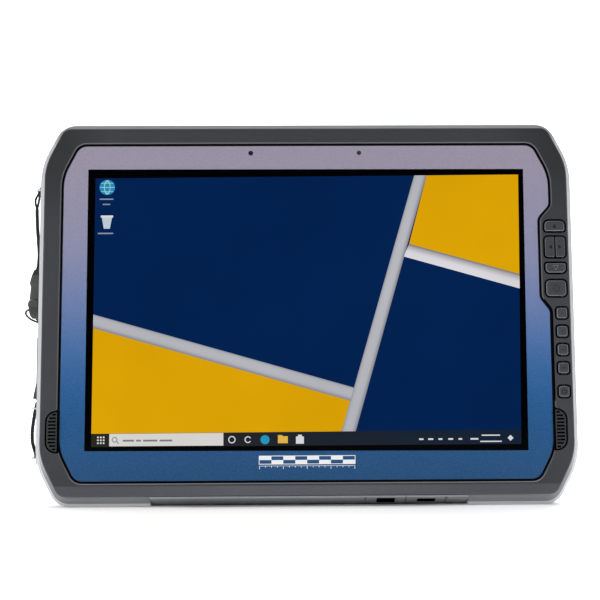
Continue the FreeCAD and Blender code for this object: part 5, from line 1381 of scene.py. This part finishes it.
# the room beyond the paper is seen as white, and lights the object at its own lower level
ROOM_LIGHT, ROOM_SEEN = 0.32, 1.0
world = bpy.data.worlds.new("studio")
scene.world = world
world.use_nodes = True
room = world.node_tree
background = room.nodes["Background"]
background.inputs[0].default_value = (1.0, 1.0, 1.0, 1.0)
background.inputs[1].default_value = ROOM_LIGHT
light_path = room.nodes.new("ShaderNodeLightPath")
level = room.nodes.new("ShaderNodeMapRange")
room.links.new(light_path.outputs["Is Camera Ray"], level.inputs[0])
level.inputs[3].default_value = ROOM_LIGHT
level.inputs[4].default_value = ROOM_SEEN
room.links.new(level.outputs[0], background.inputs[1])


def area(name, location, size, power, target=(0, 0, 0), size_y=None):
    """Area lamp aimed at a target and hidden from the camera."""
    light = bpy.data.lights.new(name, "AREA")
    light.energy = power
    light.size = size
    if size_y:
        light.shape = "RECTANGLE"
        light.size_y = size_y
    lamp = bpy.data.objects.new(name, light)
    lamp.location = location
    aim = Vector(target) - Vector(location)
    lamp.rotation_euler = aim.to_track_quat("-Z", "Y").to_euler()
    lamp.visible_camera = False
    scene.collection.objects.link(lamp)
    return lamp


area("key_light", (-1.0, -1.2, 0.25), size=0.9, power=8.5)
area("fill_light", (1.1, -1.2, 0.2), size=0.9, power=6.0)
area("top_light", (0.0, -0.3, 1.5), size=1.0, power=1.5, size_y=0.5)
area("back_light", (0.6, 1.0, 0.8), size=0.9, power=9.0)
area("back_fill", (-1.0, 0.9, 0.3), size=0.9, power=5.0)
# a wide lamp overhead lights the paper alone, so that it comes out white and the object
# still throws a soft shadow on it
paper_lamp = area("paper_light", (0.0, 0.2, 2.4), size=2.6, power=70.0, target=(0, 0.2, 0))
paper_only = bpy.data.collections.new("paper_only")
paper_only.objects.link(floor)
paper_lamp.light_linking.receiver_collection = paper_only

# ------------------------------------------------------------------ camera
CAMERA_DISTANCE = 510.395
CAMERA_TARGET = Vector((0.4, -26.0, -2.4))
pitch, yaw, roll = math.radians(5.6773), math.radians(0.6363), math.radians(0.3287)
cam_data = bpy.data.cameras.new("photo_camera")
cam = bpy.data.objects.new("photo_camera", cam_data)
scene.collection.objects.link(cam)
scene.camera = cam
cam_data.sensor_width = 36.0
cam_data.lens = 60.026
ahead = Vector((math.sin(yaw) * math.cos(pitch), math.cos(yaw) * math.cos(pitch),
                math.sin(pitch)))
level_right = Vector((math.cos(yaw), -math.sin(yaw), 0))
level_up = level_right.cross(ahead)
right = level_right * math.cos(roll) - level_up * math.sin(roll)
up = level_right * math.sin(roll) + level_up * math.cos(roll)
place = (CAMERA_TARGET - ahead * CAMERA_DISTANCE) * MM
cam.matrix_world = Matrix([(right[i], up[i], -ahead[i], place[i]) for i in range(3)]
                          + [(0, 0, 0, 1)])
cam_data.shift_x = -0.0119
cam_data.shift_y = 0.0233
cam_data.clip_start, cam_data.clip_end = 0.01, 50.0
